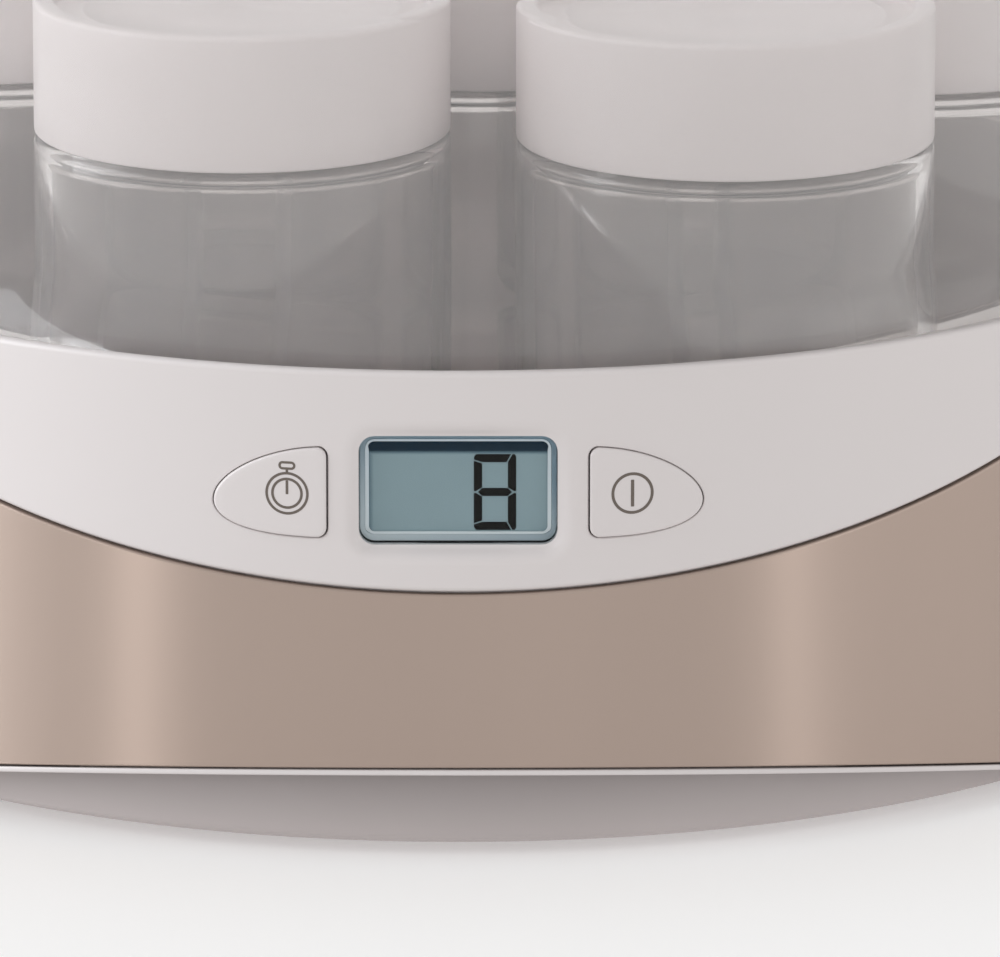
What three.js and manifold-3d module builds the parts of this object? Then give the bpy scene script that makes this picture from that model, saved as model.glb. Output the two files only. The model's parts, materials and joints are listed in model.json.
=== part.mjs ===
// A round yogurt maker with seven screw-capped jars under a clear lid.
// Millimetres, +Z up, the front faces -Y, and the origin is on the table under the middle of the base.
import * as THREE from "three";
import { mergeVertices } from "three/addons/utils/BufferGeometryUtils.js";
import Module from "manifold-3d";

const wasm = await Module();
wasm.setup();

// ---------------------------------------------------------------- driving dimensions

const fitGap = 0.3; // left between two pieces that touch
const shellSides = 56;
const jarSides = 20;

// Jars and caps
const jarRadius = 33.6;
const jarHeight = 75.6;
const jarWall = 3;
const jarBase = 5;
const shoulderRound = 3.4;
const neckHeight = 18.1;
const neckInset = 3.8; // from the body's outside to the neck's outside
const capInset = 0.1;
const capWall = 1.8;
const capTop = 1.8;
const capRecess = 2.2; // the raised ring's height over the cap's panel
const capRing = 3.4; // the raised ring's width
const capClearance = 0.4; // over the shoulder
const jarGap = 10.3; // between two jars in the regular pattern
const jarToBowl = 6.4;
// Loose jars stand a little off the regular pattern: [ring step, x shift, y shift].
const ringJars = [
  [-120, 3.85, 4.5],
  [-60, 3.85, -1.4],
  [0, -2, -6.5],
  [60, 1.25, -0.6],
  [120, 1.25, 0.4],
  [180, 0, 1],
];
const middleJarShift = [3, -4];

// Heights
const footHeight = 2;
const chamberHeight = 42.4; // from the pan's underside to the bowl's underside
const bowlDepth = 30.3;
const lidSeatDepth = 3.2; // how far the lid drops into the rim
const lidHeadroom = 17.5; // over the caps

// Shells
const bowlWall = 1.6;
const bowlRound = 6;
const bowlLedge = 7.1; // from the bowl's inside to the lid's outside
const lidSeatGap = 0.8;
const lidWall = 2.2;
const lidRound = 9;
const lidCrown = 1.8;
const rimWall = 2.6;
const rimRound = 0.8;
const shellDraft = 0.05; // growth of the radius for each millimetre down
const shellWall = 3.2;
const ledgeThickness = 2.4;
const ledgeClearance = 1.1;
const ringHeight = 6; // the white ring over the band at the sides and back
const panelHeight = 35.2; // the white front panel under the rim, in the middle
const panelSlope = 0.385;
const bandRecess = 1.6;
const bandWall = 1.3;
const lipRise = 13.7; // the band's lower edge over the pan's underside, in the middle of the front
const lipSlope = 0.262;
const lipSideRise = 1.2;
const lipThickness = 0.9;
const panUndercut = 4.6;
const panWall = 2.2;
const panFloor = 2.4;
const panRound = 2.2;
const panTopRise = 17.8;

// Front controls
const controlsDrop = 19.2; // from the rim to the middle of the display and the keys
const windowWidth = 31.1;
const windowHeight = 17.5;
const windowCorner = 2.4;
const windowSink = 1.8;
const windowThickness = 2.4;
const windowFlange = 1.4;
const windowFlangeThickness = 1;
const funnelReach = 2.1;
const padMargin = 2.9;
const padThickness = 5.6;
const keyFromWindow = 5.15; // from the window's side to a key's straight edge
const keyLength = 18.1;
const keyHalfHeight = 7.35;
const keyCorner = 1.6;
const keyGap = 0.4;
const keyProud = 0.4;
const keyFlange = 1.2;
const keyFlangeThickness = 0.8;
const keyCentre = 8.1; // from the straight edge to the icon
const boardDepth = 11.56; // from the front surface to the board's face
const boardThickness = 1.6;
const boardPastKey = 14.3; // from a key's straight edge to the board's end
const boardUp = 11.2;
const boardDown = 15.3;
const boardToBowl = 2.7;
const switchSize = 6;
const switchThickness = 1.7;
const plungerRadius = 1.5;
const plungerLength = 0.5;
const postRadius = 2.5;
const postFromKey = 3.3; // from a key's straight edge to the post's middle
const postDrop = 12.3;
const boardScrewRadius = 1.1;
const boardScrewLength = 5;
const boardScrewHead = 2.4;
const boardScrewHeadThickness = 1.4;
const displayThickness = 2.8;
const displayMargin = 0.7; // the display's glass beyond the frame's opening
const frameWall = 2.4;
const frameLip = 1;
const chipSize = 10;
const chipThickness = 1.2;
const cableWidth = 12;
const cableThickness = 0.8;

// Heater
const spreaderInset = 19.5; // from the bowl's inside
const spreaderThickness = 1.6;
const spreaderHole = 3;
const elementInset = 45; // from the bowl's inside to the middle of the element
const elementRadius = 2.6;
const elementGapDegrees = 14;
const elementDrop = 7;
const clipWidth = 8;
const clipMetal = 0.8;
const clipFoot = 5;
const fuseRadius = 2.4;
const fuseLength = 14;
const sensorRadius = 3.2;
const sensorLength = 12;

// Base
const screwCircleInset = 9.5; // from the bowl's inside
const screwCircleStart = 20;
const bossRadius = 4.5;
const sleeveRadius = 6;
const sleeveRise = 7.8;
const screwRadius = 1.7;
const screwHead = 3.5;
const screwHeadThickness = 2.4;
const screwLength = 18;
const counterboreRise = 3.8;
const footRadius = 8;
const footRecess = 1.3;
const footCircleInset = 12; // from the bowl's inside
const ventCount = 7;
const ventLength = 34;
const ventWidth = 3;
const ventPitch = 8;
const cordRise = 10.5;
const cordRadius = 3.2;
const bushNeck = 4.4;
const bushFlange = 6.6;
const bushFlangeThickness = 1.6;
const bushSink = 0.4; // the bush's flat outer seat, in from the pan's outside at its foot
const notchHalfWidth = 9;
const powerBoardSize = [72, 46, 1.6];
const powerBoardY = -52;
const powerBoardRise = 9;
const standoffRadius = 3;
const standoffInset = 4;
const terminalSize = [24, 12, 13];
const terminalInset = 30; // from the pan's outside at the back
const clampSize = [26, 8, 10];
const clampInset = 16;
const leadRadius = 1.4;

// Grip moulded on the lid
const gripLength = 72;
const gripWidth = 18;
const gripHeight = 5.5;

// ---------------------------------------------------------------- worked out from them

const jarPitch = 2 * jarRadius + jarGap;
const capRadius = jarRadius - capInset;
const neckRadius = jarRadius - neckInset;
const shoulderHeight = jarHeight - neckHeight;
const capFloor = shoulderHeight + capClearance;
const capPanelUnder = jarHeight + fitGap;
const capHeight = capPanelUnder + capTop + capRecess - capFloor;

const bowlRadius = jarPitch + jarRadius + jarToBowl;
const bowlOuter = bowlRadius + bowlWall;
const bowlUnder = footHeight + chamberHeight;
const bowlFloor = bowlUnder + bowlWall;
const bowlTop = bowlFloor + bowlDepth;
const jarRest = bowlFloor + fitGap;
const lidRadius = bowlRadius + bowlLedge;
const rimInner = lidRadius + lidSeatGap;
const rimRadius = rimInner + rimWall;
const rimTop = bowlTop + lidSeatDepth;
const ledgeTop = bowlTop - bowlWall - fitGap;
const ledgeInner = bowlOuter + ledgeClearance;
const controlsHeight = rimTop - controlsDrop;
const panelEdge = rimTop - panelHeight;
const lipHeight = footHeight + lipRise;
const panFloorTop = footHeight + panFloor;
const panTop = footHeight + panTopRise;
const skirtEnd = panTop + 2 * fitGap;
const lidRest = bowlTop + fitGap;
const lidTop = jarRest + capFloor + capHeight + lidHeadroom + lidWall;

const skin = (z) => rimRadius + shellDraft * (rimTop - z); // the outside's radius at a height
const faceRadius = skin(controlsHeight);
const panRadius = skin(lipHeight) - panUndercut;
const panShoulder = skin(lipHeight) - bandWall - 2 * fitGap;
const cordHeight = footHeight + cordRise;
const bushOutside = panRadius - bushSink;
const bushInside = bushOutside - panWall;
const keyInner = windowWidth / 2 + keyFromWindow;
const postX = keyInner + postFromKey;
const boardHalfWidth = keyInner + boardPastKey;
const boardFace = -(faceRadius - boardDepth);
const boardBack = boardFace + boardThickness;
const bowlFlat = boardBack + boardToBowl + bowlWall; // the flat inside face at the front of the bowl
const windowFace = -(faceRadius - windowSink);
const windowBack = windowFace + windowThickness;
const far = 4 * rimRadius; // longer than anything that is cut

// ---------------------------------------------------------------- shapes and booleans

// A closed geometry as a solid that can be cut and joined.
function solid(geometry) {
  const plain = geometry.index ? geometry.toNonIndexed() : geometry.clone();
  plain.deleteAttribute("normal");
  plain.deleteAttribute("uv");
  const merged = mergeVertices(plain, 1e-4);
  const corners = merged.index.array;
  const kept = [];
  for (let i = 0; i < corners.length; i += 3) {
    const [a, b, c] = [corners[i], corners[i + 1], corners[i + 2]];
    if (a !== b && b !== c && a !== c) kept.push(a, b, c);
  }
  return new wasm.Manifold(
    new wasm.Mesh({
      numProp: 3,
      vertProperties: merged.attributes.position.array,
      triVerts: new Uint32Array(kept),
    }),
  );
}

// A solid as a geometry that a mesh can show.
function geometryOf(body) {
  const mesh = body.getMesh();
  const geometry = new THREE.BufferGeometry();
  geometry.setAttribute("position", new THREE.BufferAttribute(mesh.vertProperties, 3));
  geometry.setIndex(new THREE.BufferAttribute(mesh.triVerts, 1));
  return geometry;
}

// A profile of [radius, height] points turned about the vertical axis, running anticlockwise.
function turned(points, sides = shellSides) {
  const profile = points.map(([r, z]) => new THREE.Vector2(r, z));
  return new THREE.LatheGeometry(profile, sides).rotateX(Math.PI / 2);
}

function ring(points, sides) {
  return turned([...points, points[0]], sides);
}

function block(x0, x1, y0, y1, z0, z1) {
  const geometry = new THREE.BoxGeometry(x1 - x0, y1 - y0, z1 - z0);
  return geometry.translate((x0 + x1) / 2, (y0 + y1) / 2, (z0 + z1) / 2);
}

function post(radius, z0, z1, x, y, sides = 16) {
  const geometry = new THREE.CylinderGeometry(radius, radius, z1 - z0, sides).rotateX(Math.PI / 2);
  return geometry.translate(x, y, (z0 + z1) / 2);
}

// A round bar along Y between two depths.
function peg(radius, y0, y1, x, z, sides = 16) {
  const geometry = new THREE.CylinderGeometry(radius, radius, y1 - y0, sides);
  return geometry.translate(x, (y0 + y1) / 2, z);
}

// An outline drawn in X and Z, solid between two depths.
function slab(shape, y0, y1, z, options = {}) {
  const settings = { depth: y1 - y0, bevelEnabled: false, curveSegments: 4, ...options };
  return new THREE.ExtrudeGeometry(shape, settings).rotateX(Math.PI / 2).translate(0, y1, z);
}

function roundedRectangle(width, height, corner) {
  const [x, y] = [width / 2, height / 2];
  const shape = new THREE.Shape();
  shape.moveTo(corner - x, -y);
  shape.lineTo(x - corner, -y);
  shape.absarc(x - corner, corner - y, corner, -Math.PI / 2, 0);
  shape.lineTo(x, y - corner);
  shape.absarc(x - corner, y - corner, corner, 0, Math.PI / 2);
  shape.lineTo(corner - x, y);
  shape.absarc(corner - x, y - corner, corner, Math.PI / 2, Math.PI);
  shape.lineTo(-x, corner - y);
  shape.absarc(corner - x, corner - y, corner, Math.PI, Math.PI * 1.5);
  return shape;
}

// Everything under a plane that rises by the slope towards +Y and is at the height where y is.
function underPlane(slope, y, z) {
  const geometry = block(-far, far, -far, far, -far, 0);
  return solid(geometry.rotateX(Math.atan(slope)).translate(0, y, z));
}

// ---------------------------------------------------------------- materials

const finish = (color, roughness, metalness = 0) => () =>
  new THREE.MeshStandardMaterial({ color, roughness, metalness });
const whitePlastic = finish(0xefedee, 0.32);
const tauPaint = finish(0xb8a89c, 0.35, 0.6);
const greyPlastic = finish(0xa59a96, 0.5);
const clearPlastic = finish(0xe6eaea, 0.08);
const jarGlass = finish(0xdde3e0, 0.05);
const displayGlass = finish(0x8fa5ad, 0.15);
const aluminium = finish(0xc4c6c8, 0.4, 0.9);
const steel = finish(0x9a9b9d, 0.35, 0.9);
const rubber = finish(0x3a3a3c, 0.85);
const boardGreen = finish(0x2f6b45, 0.6);
const blackPlastic = finish(0x232426, 0.5);
const redSilicone = finish(0xb4452f, 0.7);

const yogurtMaker = new THREE.Group();

function place(name, shape, material, parent = yogurtMaker) {
  const geometry = shape.isBufferGeometry ? shape : geometryOf(shape);
  const mesh = new THREE.Mesh(geometry, material());
  mesh.name = name;
  parent.add(mesh);
  return mesh;
}

// ---------------------------------------------------------------- housing, band and pan

const underPanel = (gap) => underPlane(panelSlope, -skin(panelEdge), panelEdge - gap);
const underLip = (gap) =>
  underPlane(-lipSlope, -skin(lipHeight), lipHeight + gap).add(
    solid(block(-far, far, -far, far, -far, footHeight + lipSideRise + gap)),
  );

// One key's outline, straight towards the display and pointed away from it, grown by a margin.
function keyOutline(side, margin = 0) {
  const inner = keyInner - margin;
  const length = keyLength + 2 * margin;
  const half = keyHalfHeight + margin;
  const steps = 10;
  const edge = [];
  for (let i = 1; i <= steps; i += 1) {
    const share = Math.sin((i / steps) * (Math.PI / 2));
    edge.push([inner + share * length, half * (1 - share ** 2) ** 0.7]);
  }
  const shape = new THREE.Shape();
  shape.moveTo(side * inner, -half + keyCorner);
  shape.lineTo(side * inner, half - keyCorner);
  shape.quadraticCurveTo(side * inner, half, side * (inner + keyCorner), half * 0.995);
  edge.forEach(([x, z]) => shape.lineTo(side * x, z));
  edge.reverse().slice(1).forEach(([x, z]) => shape.lineTo(side * x, -z));
  shape.quadraticCurveTo(side * inner, -half, side * inner, -half + keyCorner);
  return shape;
}

function buildHousing() {
  const ledgeUnder = ledgeTop - ledgeThickness;
  let housing = solid(
    ring([
      [skin(skirtEnd), skirtEnd],
      [skin(rimTop - rimRound), rimTop - rimRound],
      [rimRadius - rimRound, rimTop],
      [rimInner + rimRound, rimTop],
      [rimInner, rimTop - rimRound],
      [rimInner, ledgeTop],
      [ledgeInner, ledgeTop],
      [ledgeInner, ledgeUnder],
      [skin(ledgeUnder) - shellWall, ledgeUnder],
      [skin(skirtEnd) - shellWall, skirtEnd],
    ]),
  );
  const ringEdge = rimTop - ringHeight;
  const recess = ring([
    [skin(footHeight) - bandRecess, footHeight],
    [skin(footHeight) + panUndercut, footHeight],
    [skin(ringEdge) + panUndercut, ringEdge],
    [skin(ringEdge) - bandRecess, ringEdge],
  ]);
  housing = housing.subtract(solid(recess).intersect(underPanel(0)));

  // The display's flat seat, its opening with a sloped surround, and the pocket for the lens's flange.
  const padBack = windowBack + windowFlangeThickness + fitGap;
  const padHeight = windowHeight / 2 + padMargin;
  const padWidth = windowWidth / 2 + padMargin;
  const [low, high] = [controlsHeight - padHeight, controlsHeight + padHeight];
  const pad = block(-padWidth, padWidth, padBack - padThickness + fitGap, padBack, low, high);
  const grown = (by) => roundedRectangle(windowWidth + by, windowHeight + by, windowCorner + by / 2);
  const opening = slab(grown(2 * fitGap), -far, 0, controlsHeight);
  const funnel = slab(grown(2 * fitGap), windowFace - far, windowFace, controlsHeight, {
    bevelEnabled: true,
    bevelThickness: funnelReach + windowSink,
    bevelSize: funnelReach,
    bevelSegments: 1,
  }).translate(0, -funnelReach - windowSink, 0);
  const pocketFront = windowBack - fitGap;
  const pocket = slab(grown(2 * windowFlange + 2 * fitGap), pocketFront, 0, controlsHeight);
  housing = housing.add(solid(pad));
  housing = housing.subtract(solid(opening)).subtract(solid(funnel)).subtract(solid(pocket));

  for (const side of [-1, 1]) {
    housing = housing.subtract(solid(slab(keyOutline(side, keyGap), -far, 0, controlsHeight)));
    const height = controlsHeight - postDrop;
    const innerWall = -Math.sqrt((skin(height) - shellWall / 2) ** 2 - postX ** 2);
    const bore = boardScrewRadius + fitGap;
    housing = housing
      .add(solid(peg(postRadius, innerWall, boardFace - fitGap, side * postX, height)))
      .subtract(solid(peg(bore, innerWall + shellWall / 2, 0, side * postX, height, 12)));
  }
  return housing;
}

function notchCutter(halfWidth) {
  return solid(peg(halfWidth, 0, far, 0, cordHeight, 24)).add(
    solid(block(-halfWidth, halfWidth, 0, far, -far, cordHeight)),
  );
}

function buildBand() {
  const [low, high] = [footHeight, rimTop - ringHeight - fitGap];
  const sleeve = ring([
    [skin(low) - bandWall, low],
    [skin(low), low],
    [skin(high), high],
    [skin(high) - bandWall, high],
  ]);
  return solid(sleeve)
    .intersect(underPanel(fitGap))
    .subtract(underLip(fitGap))
    .subtract(notchCutter(notchHalfWidth));
}

const circlePlaces = (radius, start) =>
  [0, 1, 2, 3].map((i) => {
    const angle = THREE.MathUtils.degToRad(start + 90 * i);
    return [radius * Math.cos(angle), radius * Math.sin(angle)];
  });
const screwPlaces = circlePlaces(bowlRadius - screwCircleInset, screwCircleStart);
const footPlaces = circlePlaces(bowlRadius - footCircleInset, 45);
const standoffPlaces = [-1, 1].flatMap((sx) =>
  [-1, 1].map((sy) => [
    sx * (powerBoardSize[0] / 2 - standoffInset),
    powerBoardY + sy * (powerBoardSize[1] / 2 - standoffInset),
  ]),
);

function buildPan() {
  const shoulderStart = lipHeight - lipThickness;
  const outside = turned([
    [0, footHeight],
    [panRadius - panRound, footHeight],
    [panRadius - panRound * 0.3, footHeight + panRound * 0.3],
    [panRadius, footHeight + panRound],
    [panShoulder, shoulderStart],
    [panShoulder, panTop],
    [0, panTop],
  ]);
  const inside = turned([
    [0, panFloorTop],
    [panRadius - panWall - panRound, panFloorTop],
    [panRadius - panWall, panFloorTop + panRound],
    [panShoulder - panWall, shoulderStart],
    [panShoulder - panWall, panTop + panWall],
    [0, panTop + panWall],
  ]);
  const lipLow = footHeight + lipSideRise - lipThickness;
  const lipDisc = turned([
    [0, lipLow],
    [skin(lipLow), lipLow],
    [skin(panTop), panTop],
    [0, panTop],
  ]);
  const lip = solid(lipDisc).intersect(underLip(0)).subtract(underLip(-lipThickness));
  let pan = solid(outside).add(lip).subtract(solid(inside));

  const overFloor = footHeight + panFloor / 2;
  for (const [x, y] of screwPlaces) {
    pan = pan
      .add(solid(post(sleeveRadius, overFloor, footHeight + sleeveRise, x, y)))
      .subtract(solid(post(screwHead + 2 * fitGap, -far, footHeight + counterboreRise, x, y)))
      .subtract(solid(post(screwRadius + 2 * fitGap, -far, far, x, y, 12)));
  }
  for (const [x, y] of standoffPlaces) {
    pan = pan.add(solid(post(standoffRadius, overFloor, footHeight + powerBoardRise, x, y, 12)));
  }
  for (const [x, y] of footPlaces) {
    pan = pan.subtract(solid(post(footRadius + fitGap, -far, footHeight + footRecess, x, y, 20)));
  }
  for (let i = 0; i < ventCount; i += 1) {
    const y = (i - (ventCount - 1) / 2) * ventPitch + ventLength;
    const [x0, y0] = [ventLength / 2, y - ventWidth / 2];
    pan = pan.subtract(solid(block(-x0, x0, y0, y0 + ventWidth, -far, far)));
  }
  const seat = bushFlange + fitGap;
  return pan
    .add(solid(peg(seat, bushInside, bushOutside, 0, cordHeight)))
    .subtract(solid(peg(seat, bushOutside, far, 0, cordHeight)))
    .subtract(solid(peg(bushNeck + fitGap, 0, far, 0, cordHeight)));
}

place("upper_housing", buildHousing(), whitePlastic);
place("side_band", buildBand(), tauPaint);
place("base_pan", buildPan(), whitePlastic);

// ---------------------------------------------------------------- bowl and heater

function buildBowl() {
  const behind = (y) => solid(block(-far, far, y, far, -far, far));
  const well = (radius, floor, top, round) =>
    solid(
      turned([
        [0, floor],
        [radius - round, floor],
        [radius - round * 0.3, floor + round * 0.3],
        [radius, floor + round],
        [radius, top],
        [0, top],
      ]),
    );
  const outside = well(bowlOuter, bowlUnder, bowlTop, bowlRound + bowlWall);
  const inside = well(bowlRadius, bowlFloor, bowlTop + bowlWall, bowlRound);
  const flangeUnder = bowlTop - bowlWall;
  const flange = turned([
    [0, flangeUnder],
    [rimInner - 2 * fitGap, flangeUnder],
    [rimInner - 2 * fitGap, bowlTop],
    [0, bowlTop],
  ]);
  let bowl = outside
    .intersect(behind(bowlFlat - bowlWall))
    .add(solid(flange))
    .subtract(inside.intersect(behind(bowlFlat)));
  const bossEnd = footHeight + sleeveRise + fitGap;
  const boreEnd = footHeight + counterboreRise + screwLength + 2;
  for (const [x, y] of screwPlaces) {
    bowl = bowl
      .add(solid(post(bossRadius, bossEnd, bowlUnder + bowlWall / 2, x, y)))
      .subtract(solid(post(screwRadius + fitGap, -far, boreEnd, x, y, 12)));
  }
  return bowl;
}
place("bowl", buildBowl(), greyPlastic);

const spreaderRadius = bowlRadius - spreaderInset;
const spreaderTop = bowlUnder - fitGap;
const spreaderUnder = spreaderTop - spreaderThickness;
const elementCircle = bowlRadius - elementInset;
const elementHeight = spreaderUnder - 2 * fitGap - elementRadius;

place(
  "heat_spreader",
  ring([
    [spreaderHole, spreaderUnder],
    [spreaderRadius, spreaderUnder],
    [spreaderRadius, spreaderTop],
    [spreaderHole, spreaderTop],
  ], 32),
  aluminium,
);

// A bar of any section along a smooth path.
function swept(shape, points, steps) {
  const path = new THREE.CatmullRomCurve3(points.map((p) => new THREE.Vector3(...p)));
  return new THREE.ExtrudeGeometry(shape, { steps, extrudePath: path, curveSegments: 2 });
}

function roundBar(radius) {
  return new THREE.Shape().absarc(0, 0, radius, 0, 2 * Math.PI);
}

// An open loop under the spreader whose two ends turn down at the back.
function buildElement() {
  const points = [];
  const end = elementGapDegrees;
  for (let angle = end; angle <= 360 - end; angle += 16.6) {
    const turn = THREE.MathUtils.degToRad(angle + 90);
    points.push([elementCircle * Math.cos(turn), elementCircle * Math.sin(turn), elementHeight]);
  }
  const drop = ([x, y, z]) => [
    [x * 0.88, y, z - elementDrop * 0.25],
    [x * 0.7, y, z - elementDrop],
  ];
  const start = drop(points[0]).reverse();
  const finish = drop(points[points.length - 1]);
  return swept(roundBar(elementRadius), [...start, ...points, ...finish], 68);
}
place("heating_element", buildElement(), steel);

// A strap under a round bar, its two feet against the spreader. It runs across X.
function strap(radius) {
  const inner = radius + fitGap;
  const outer = inner + clipMetal;
  const depth = 2 * radius + fitGap;
  const shape = new THREE.Shape();
  shape.moveTo(-outer - clipFoot, 0);
  shape.lineTo(-outer - clipFoot, -clipMetal);
  shape.lineTo(-outer, -clipMetal);
  shape.lineTo(-outer, -depth - clipMetal);
  shape.lineTo(outer, -depth - clipMetal);
  shape.lineTo(outer, -clipMetal);
  shape.lineTo(outer + clipFoot, -clipMetal);
  shape.lineTo(outer + clipFoot, 0);
  shape.lineTo(inner, 0);
  shape.lineTo(inner, -depth);
  shape.lineTo(-inner, -depth);
  shape.lineTo(-inner, 0);
  return slab(shape, -clipWidth / 2, clipWidth / 2, spreaderUnder - fitGap);
}

[-30, 90 + 120, 90].forEach((azimuth, i) => {
  const turn = THREE.MathUtils.degToRad(azimuth - 60);
  const clip = place(`element_clip_${i + 1}`, strap(elementRadius + fitGap / 2), steel);
  clip.position.set(elementCircle * Math.cos(turn), elementCircle * Math.sin(turn), 0);
  clip.rotation.z = turn;
});

function capsule(radius, length) {
  const bevel = radius * 0.3;
  const points = [
    [0, 0],
    [radius - bevel, 0],
    [radius, bevel],
    [radius, length - bevel],
    [radius - bevel, length],
    [0, length],
  ];
  return turned(points, 12).translate(0, 0, -length / 2).rotateX(Math.PI / 2);
}

const fuse = place("thermal_fuse", capsule(fuseRadius, fuseLength), steel);
fuse.position.set(elementCircle / 2, 0, spreaderUnder - fitGap - fuseRadius);
const sensor = place("temperature_sensor", capsule(sensorRadius, sensorLength), blackPlastic);
sensor.position.set(-elementCircle / 3, 0, spreaderUnder - fitGap - sensorRadius);
const bracket = place("sensor_bracket", strap(sensorRadius + fitGap / 2), steel);
bracket.position.set(sensor.position.x, 0, 0);

// ---------------------------------------------------------------- front controls

function buildWindow() {
  const lens = roundedRectangle(windowWidth, windowHeight, windowCorner);
  const by = 2 * windowFlange;
  const flange = roundedRectangle(windowWidth + by, windowHeight + by, windowCorner + windowFlange);
  const flangeBack = windowBack + windowFlangeThickness;
  return solid(slab(lens, windowFace, flangeBack, controlsHeight)).add(
    solid(slab(flange, windowBack, flangeBack, controlsHeight)),
  );
}
place("display_window", buildWindow(), clearPlastic);

const frameFront = windowBack + windowFlangeThickness + 2 * fitGap;
const frameBack = boardFace - fitGap;
const displayWidth = windowWidth - 2 * displayMargin;
const displayHeight = windowHeight - 2 * displayMargin;

function buildDisplayFrame() {
  const rectangle = (by) => roundedRectangle(displayWidth + by, displayHeight + by, 1);
  const pocketFront = frameFront + frameLip;
  return solid(slab(rectangle(2 * frameWall), frameFront, frameBack, controlsHeight))
    .subtract(solid(slab(rectangle(2 * fitGap), pocketFront, 0, controlsHeight)))
    .subtract(solid(slab(rectangle(-2 * frameLip), -far, 0, controlsHeight)));
}
place("display_frame", buildDisplayFrame(), blackPlastic);

const displayFront = frameFront + frameLip + fitGap;
place(
  "lcd_module",
  block(
    -displayWidth / 2,
    displayWidth / 2,
    displayFront,
    displayFront + displayThickness,
    controlsHeight - displayHeight / 2,
    controlsHeight + displayHeight / 2,
  ),
  displayGlass,
);

function buildBoard() {
  const [low, high] = [controlsHeight - boardDown, controlsHeight + boardUp];
  let board = solid(block(-boardHalfWidth, boardHalfWidth, boardFace, boardBack, low, high));
  for (const side of [-1, 1]) {
    const hole = boardScrewRadius + fitGap;
    board = board.subtract(
      solid(peg(hole, -far, 0, side * postX, controlsHeight - postDrop, 12)),
    );
  }
  return board;
}
place("control_board", buildBoard(), boardGreen);

const chipFront = boardBack + fitGap;
const chipHalf = chipSize / 2;
place(
  "controller_chip",
  block(
    -chipHalf,
    chipHalf,
    chipFront,
    chipFront + chipThickness,
    controlsHeight - chipHalf,
    controlsHeight + chipHalf,
  ),
  blackPlastic,
);

// A key follows the curved front and has a flange behind the wall that keeps it in.
function buildKey(side) {
  const [low, high] = [controlsHeight - panelHeight, rimTop];
  const shell = (out, depth) =>
    solid(
      ring([
        [skin(low) - depth, low],
        [skin(low) + out, low],
        [skin(high) + out, high],
        [skin(high) - depth, high],
      ]),
    );
  const flangeFront = shellWall + fitGap;
  const flangeBack = flangeFront + keyFlangeThickness;
  const cap = solid(slab(keyOutline(side), -far, 0, controlsHeight));
  const foot = solid(slab(keyOutline(side, keyFlange), -far, 0, controlsHeight));
  return cap
    .intersect(shell(keyProud, flangeBack))
    .add(foot.intersect(shell(-flangeFront, flangeBack)));
}

function buildSwitch(side) {
  const x = side * (keyInner + keyCentre);
  const back = boardFace - fitGap;
  const front = back - switchThickness;
  const half = switchSize / 2;
  const body = block(x - half, x + half, front, back, controlsHeight - half, controlsHeight + half);
  const plunger = peg(plungerRadius, front - plungerLength, back, x, controlsHeight, 12);
  return solid(body).add(solid(plunger));
}

[["timer", -1], ["power", 1]].forEach(([name, side]) => {
  place(`${name}_button`, buildKey(side), whitePlastic);
  place(`${name}_switch`, buildSwitch(side), blackPlastic);
});

[-1, 1].forEach((side, i) => {
  const headFront = boardBack + fitGap;
  const x = side * postX;
  const z = controlsHeight - postDrop;
  const shank = peg(boardScrewRadius, headFront - boardScrewLength, headFront, x, z, 8);
  const head = peg(boardScrewHead, headFront, headFront + boardScrewHeadThickness, x, z, 12);
  place(`board_screw_${i + 1}`, solid(shank).add(solid(head)), steel);
});

// ---------------------------------------------------------------- base electrics

const powerBoardUnder = footHeight + powerBoardRise + fitGap;
const powerBoardTop = powerBoardUnder + powerBoardSize[2];
const overBoard = powerBoardTop + fitGap;
const [halfBoardX, halfBoardY] = [powerBoardSize[0] / 2, powerBoardSize[1] / 2];
const boardFrontEdge = powerBoardY - halfBoardY;
const boardRearEdge = powerBoardY + halfBoardY;

place(
  "power_board",
  block(-halfBoardX, halfBoardX, boardFrontEdge, boardRearEdge, powerBoardUnder, powerBoardTop),
  boardGreen,
);

// A block standing on the power board, placed by its middle.
function onBoard(name, [width, depth, height], x, y, material) {
  const [x0, y0] = [x - width / 2, powerBoardY + y - depth / 2];
  place(name, block(x0, x0 + width, y0, y0 + depth, overBoard, overBoard + height), material);
}
onBoard("transformer", [24, 22, 16], -20, 4, blackPlastic);
onBoard("relay", [19, 15, 14], 22, 8, blackPlastic);
const capacitor = post(5, overBoard, overBoard + 13, 4, powerBoardY + 8, 16);
place("capacitor", capacitor, blackPlastic);

// Flat cable from behind the control board down to the front of the power board.
function buildCable() {
  const behind = boardBack + fitGap + cableThickness;
  const top = controlsHeight - chipSize / 2 - 2;
  const wide = cableWidth / 2;
  const thin = cableThickness / 2;
  const section = new THREE.Shape()
    .moveTo(-thin, -wide)
    .lineTo(thin, -wide)
    .lineTo(thin, wide)
    .lineTo(-thin, wide);
  const end = overBoard + fitGap;
  const route = [
    [0, behind, top],
    [0, behind, bowlUnder + 3],
    [0, behind, bowlUnder - 4],
    [0, behind + 5, bowlUnder - 13],
    [0, boardFrontEdge - 8, end + 12],
    [0, boardFrontEdge + 2, end + 7],
    [0, boardFrontEdge + 5, end],
  ];
  return swept(section, route, 24);
}
place("board_cable", buildCable(), rubber);

const panBack = panShoulder;
const terminalY = panBack - terminalInset;

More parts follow.
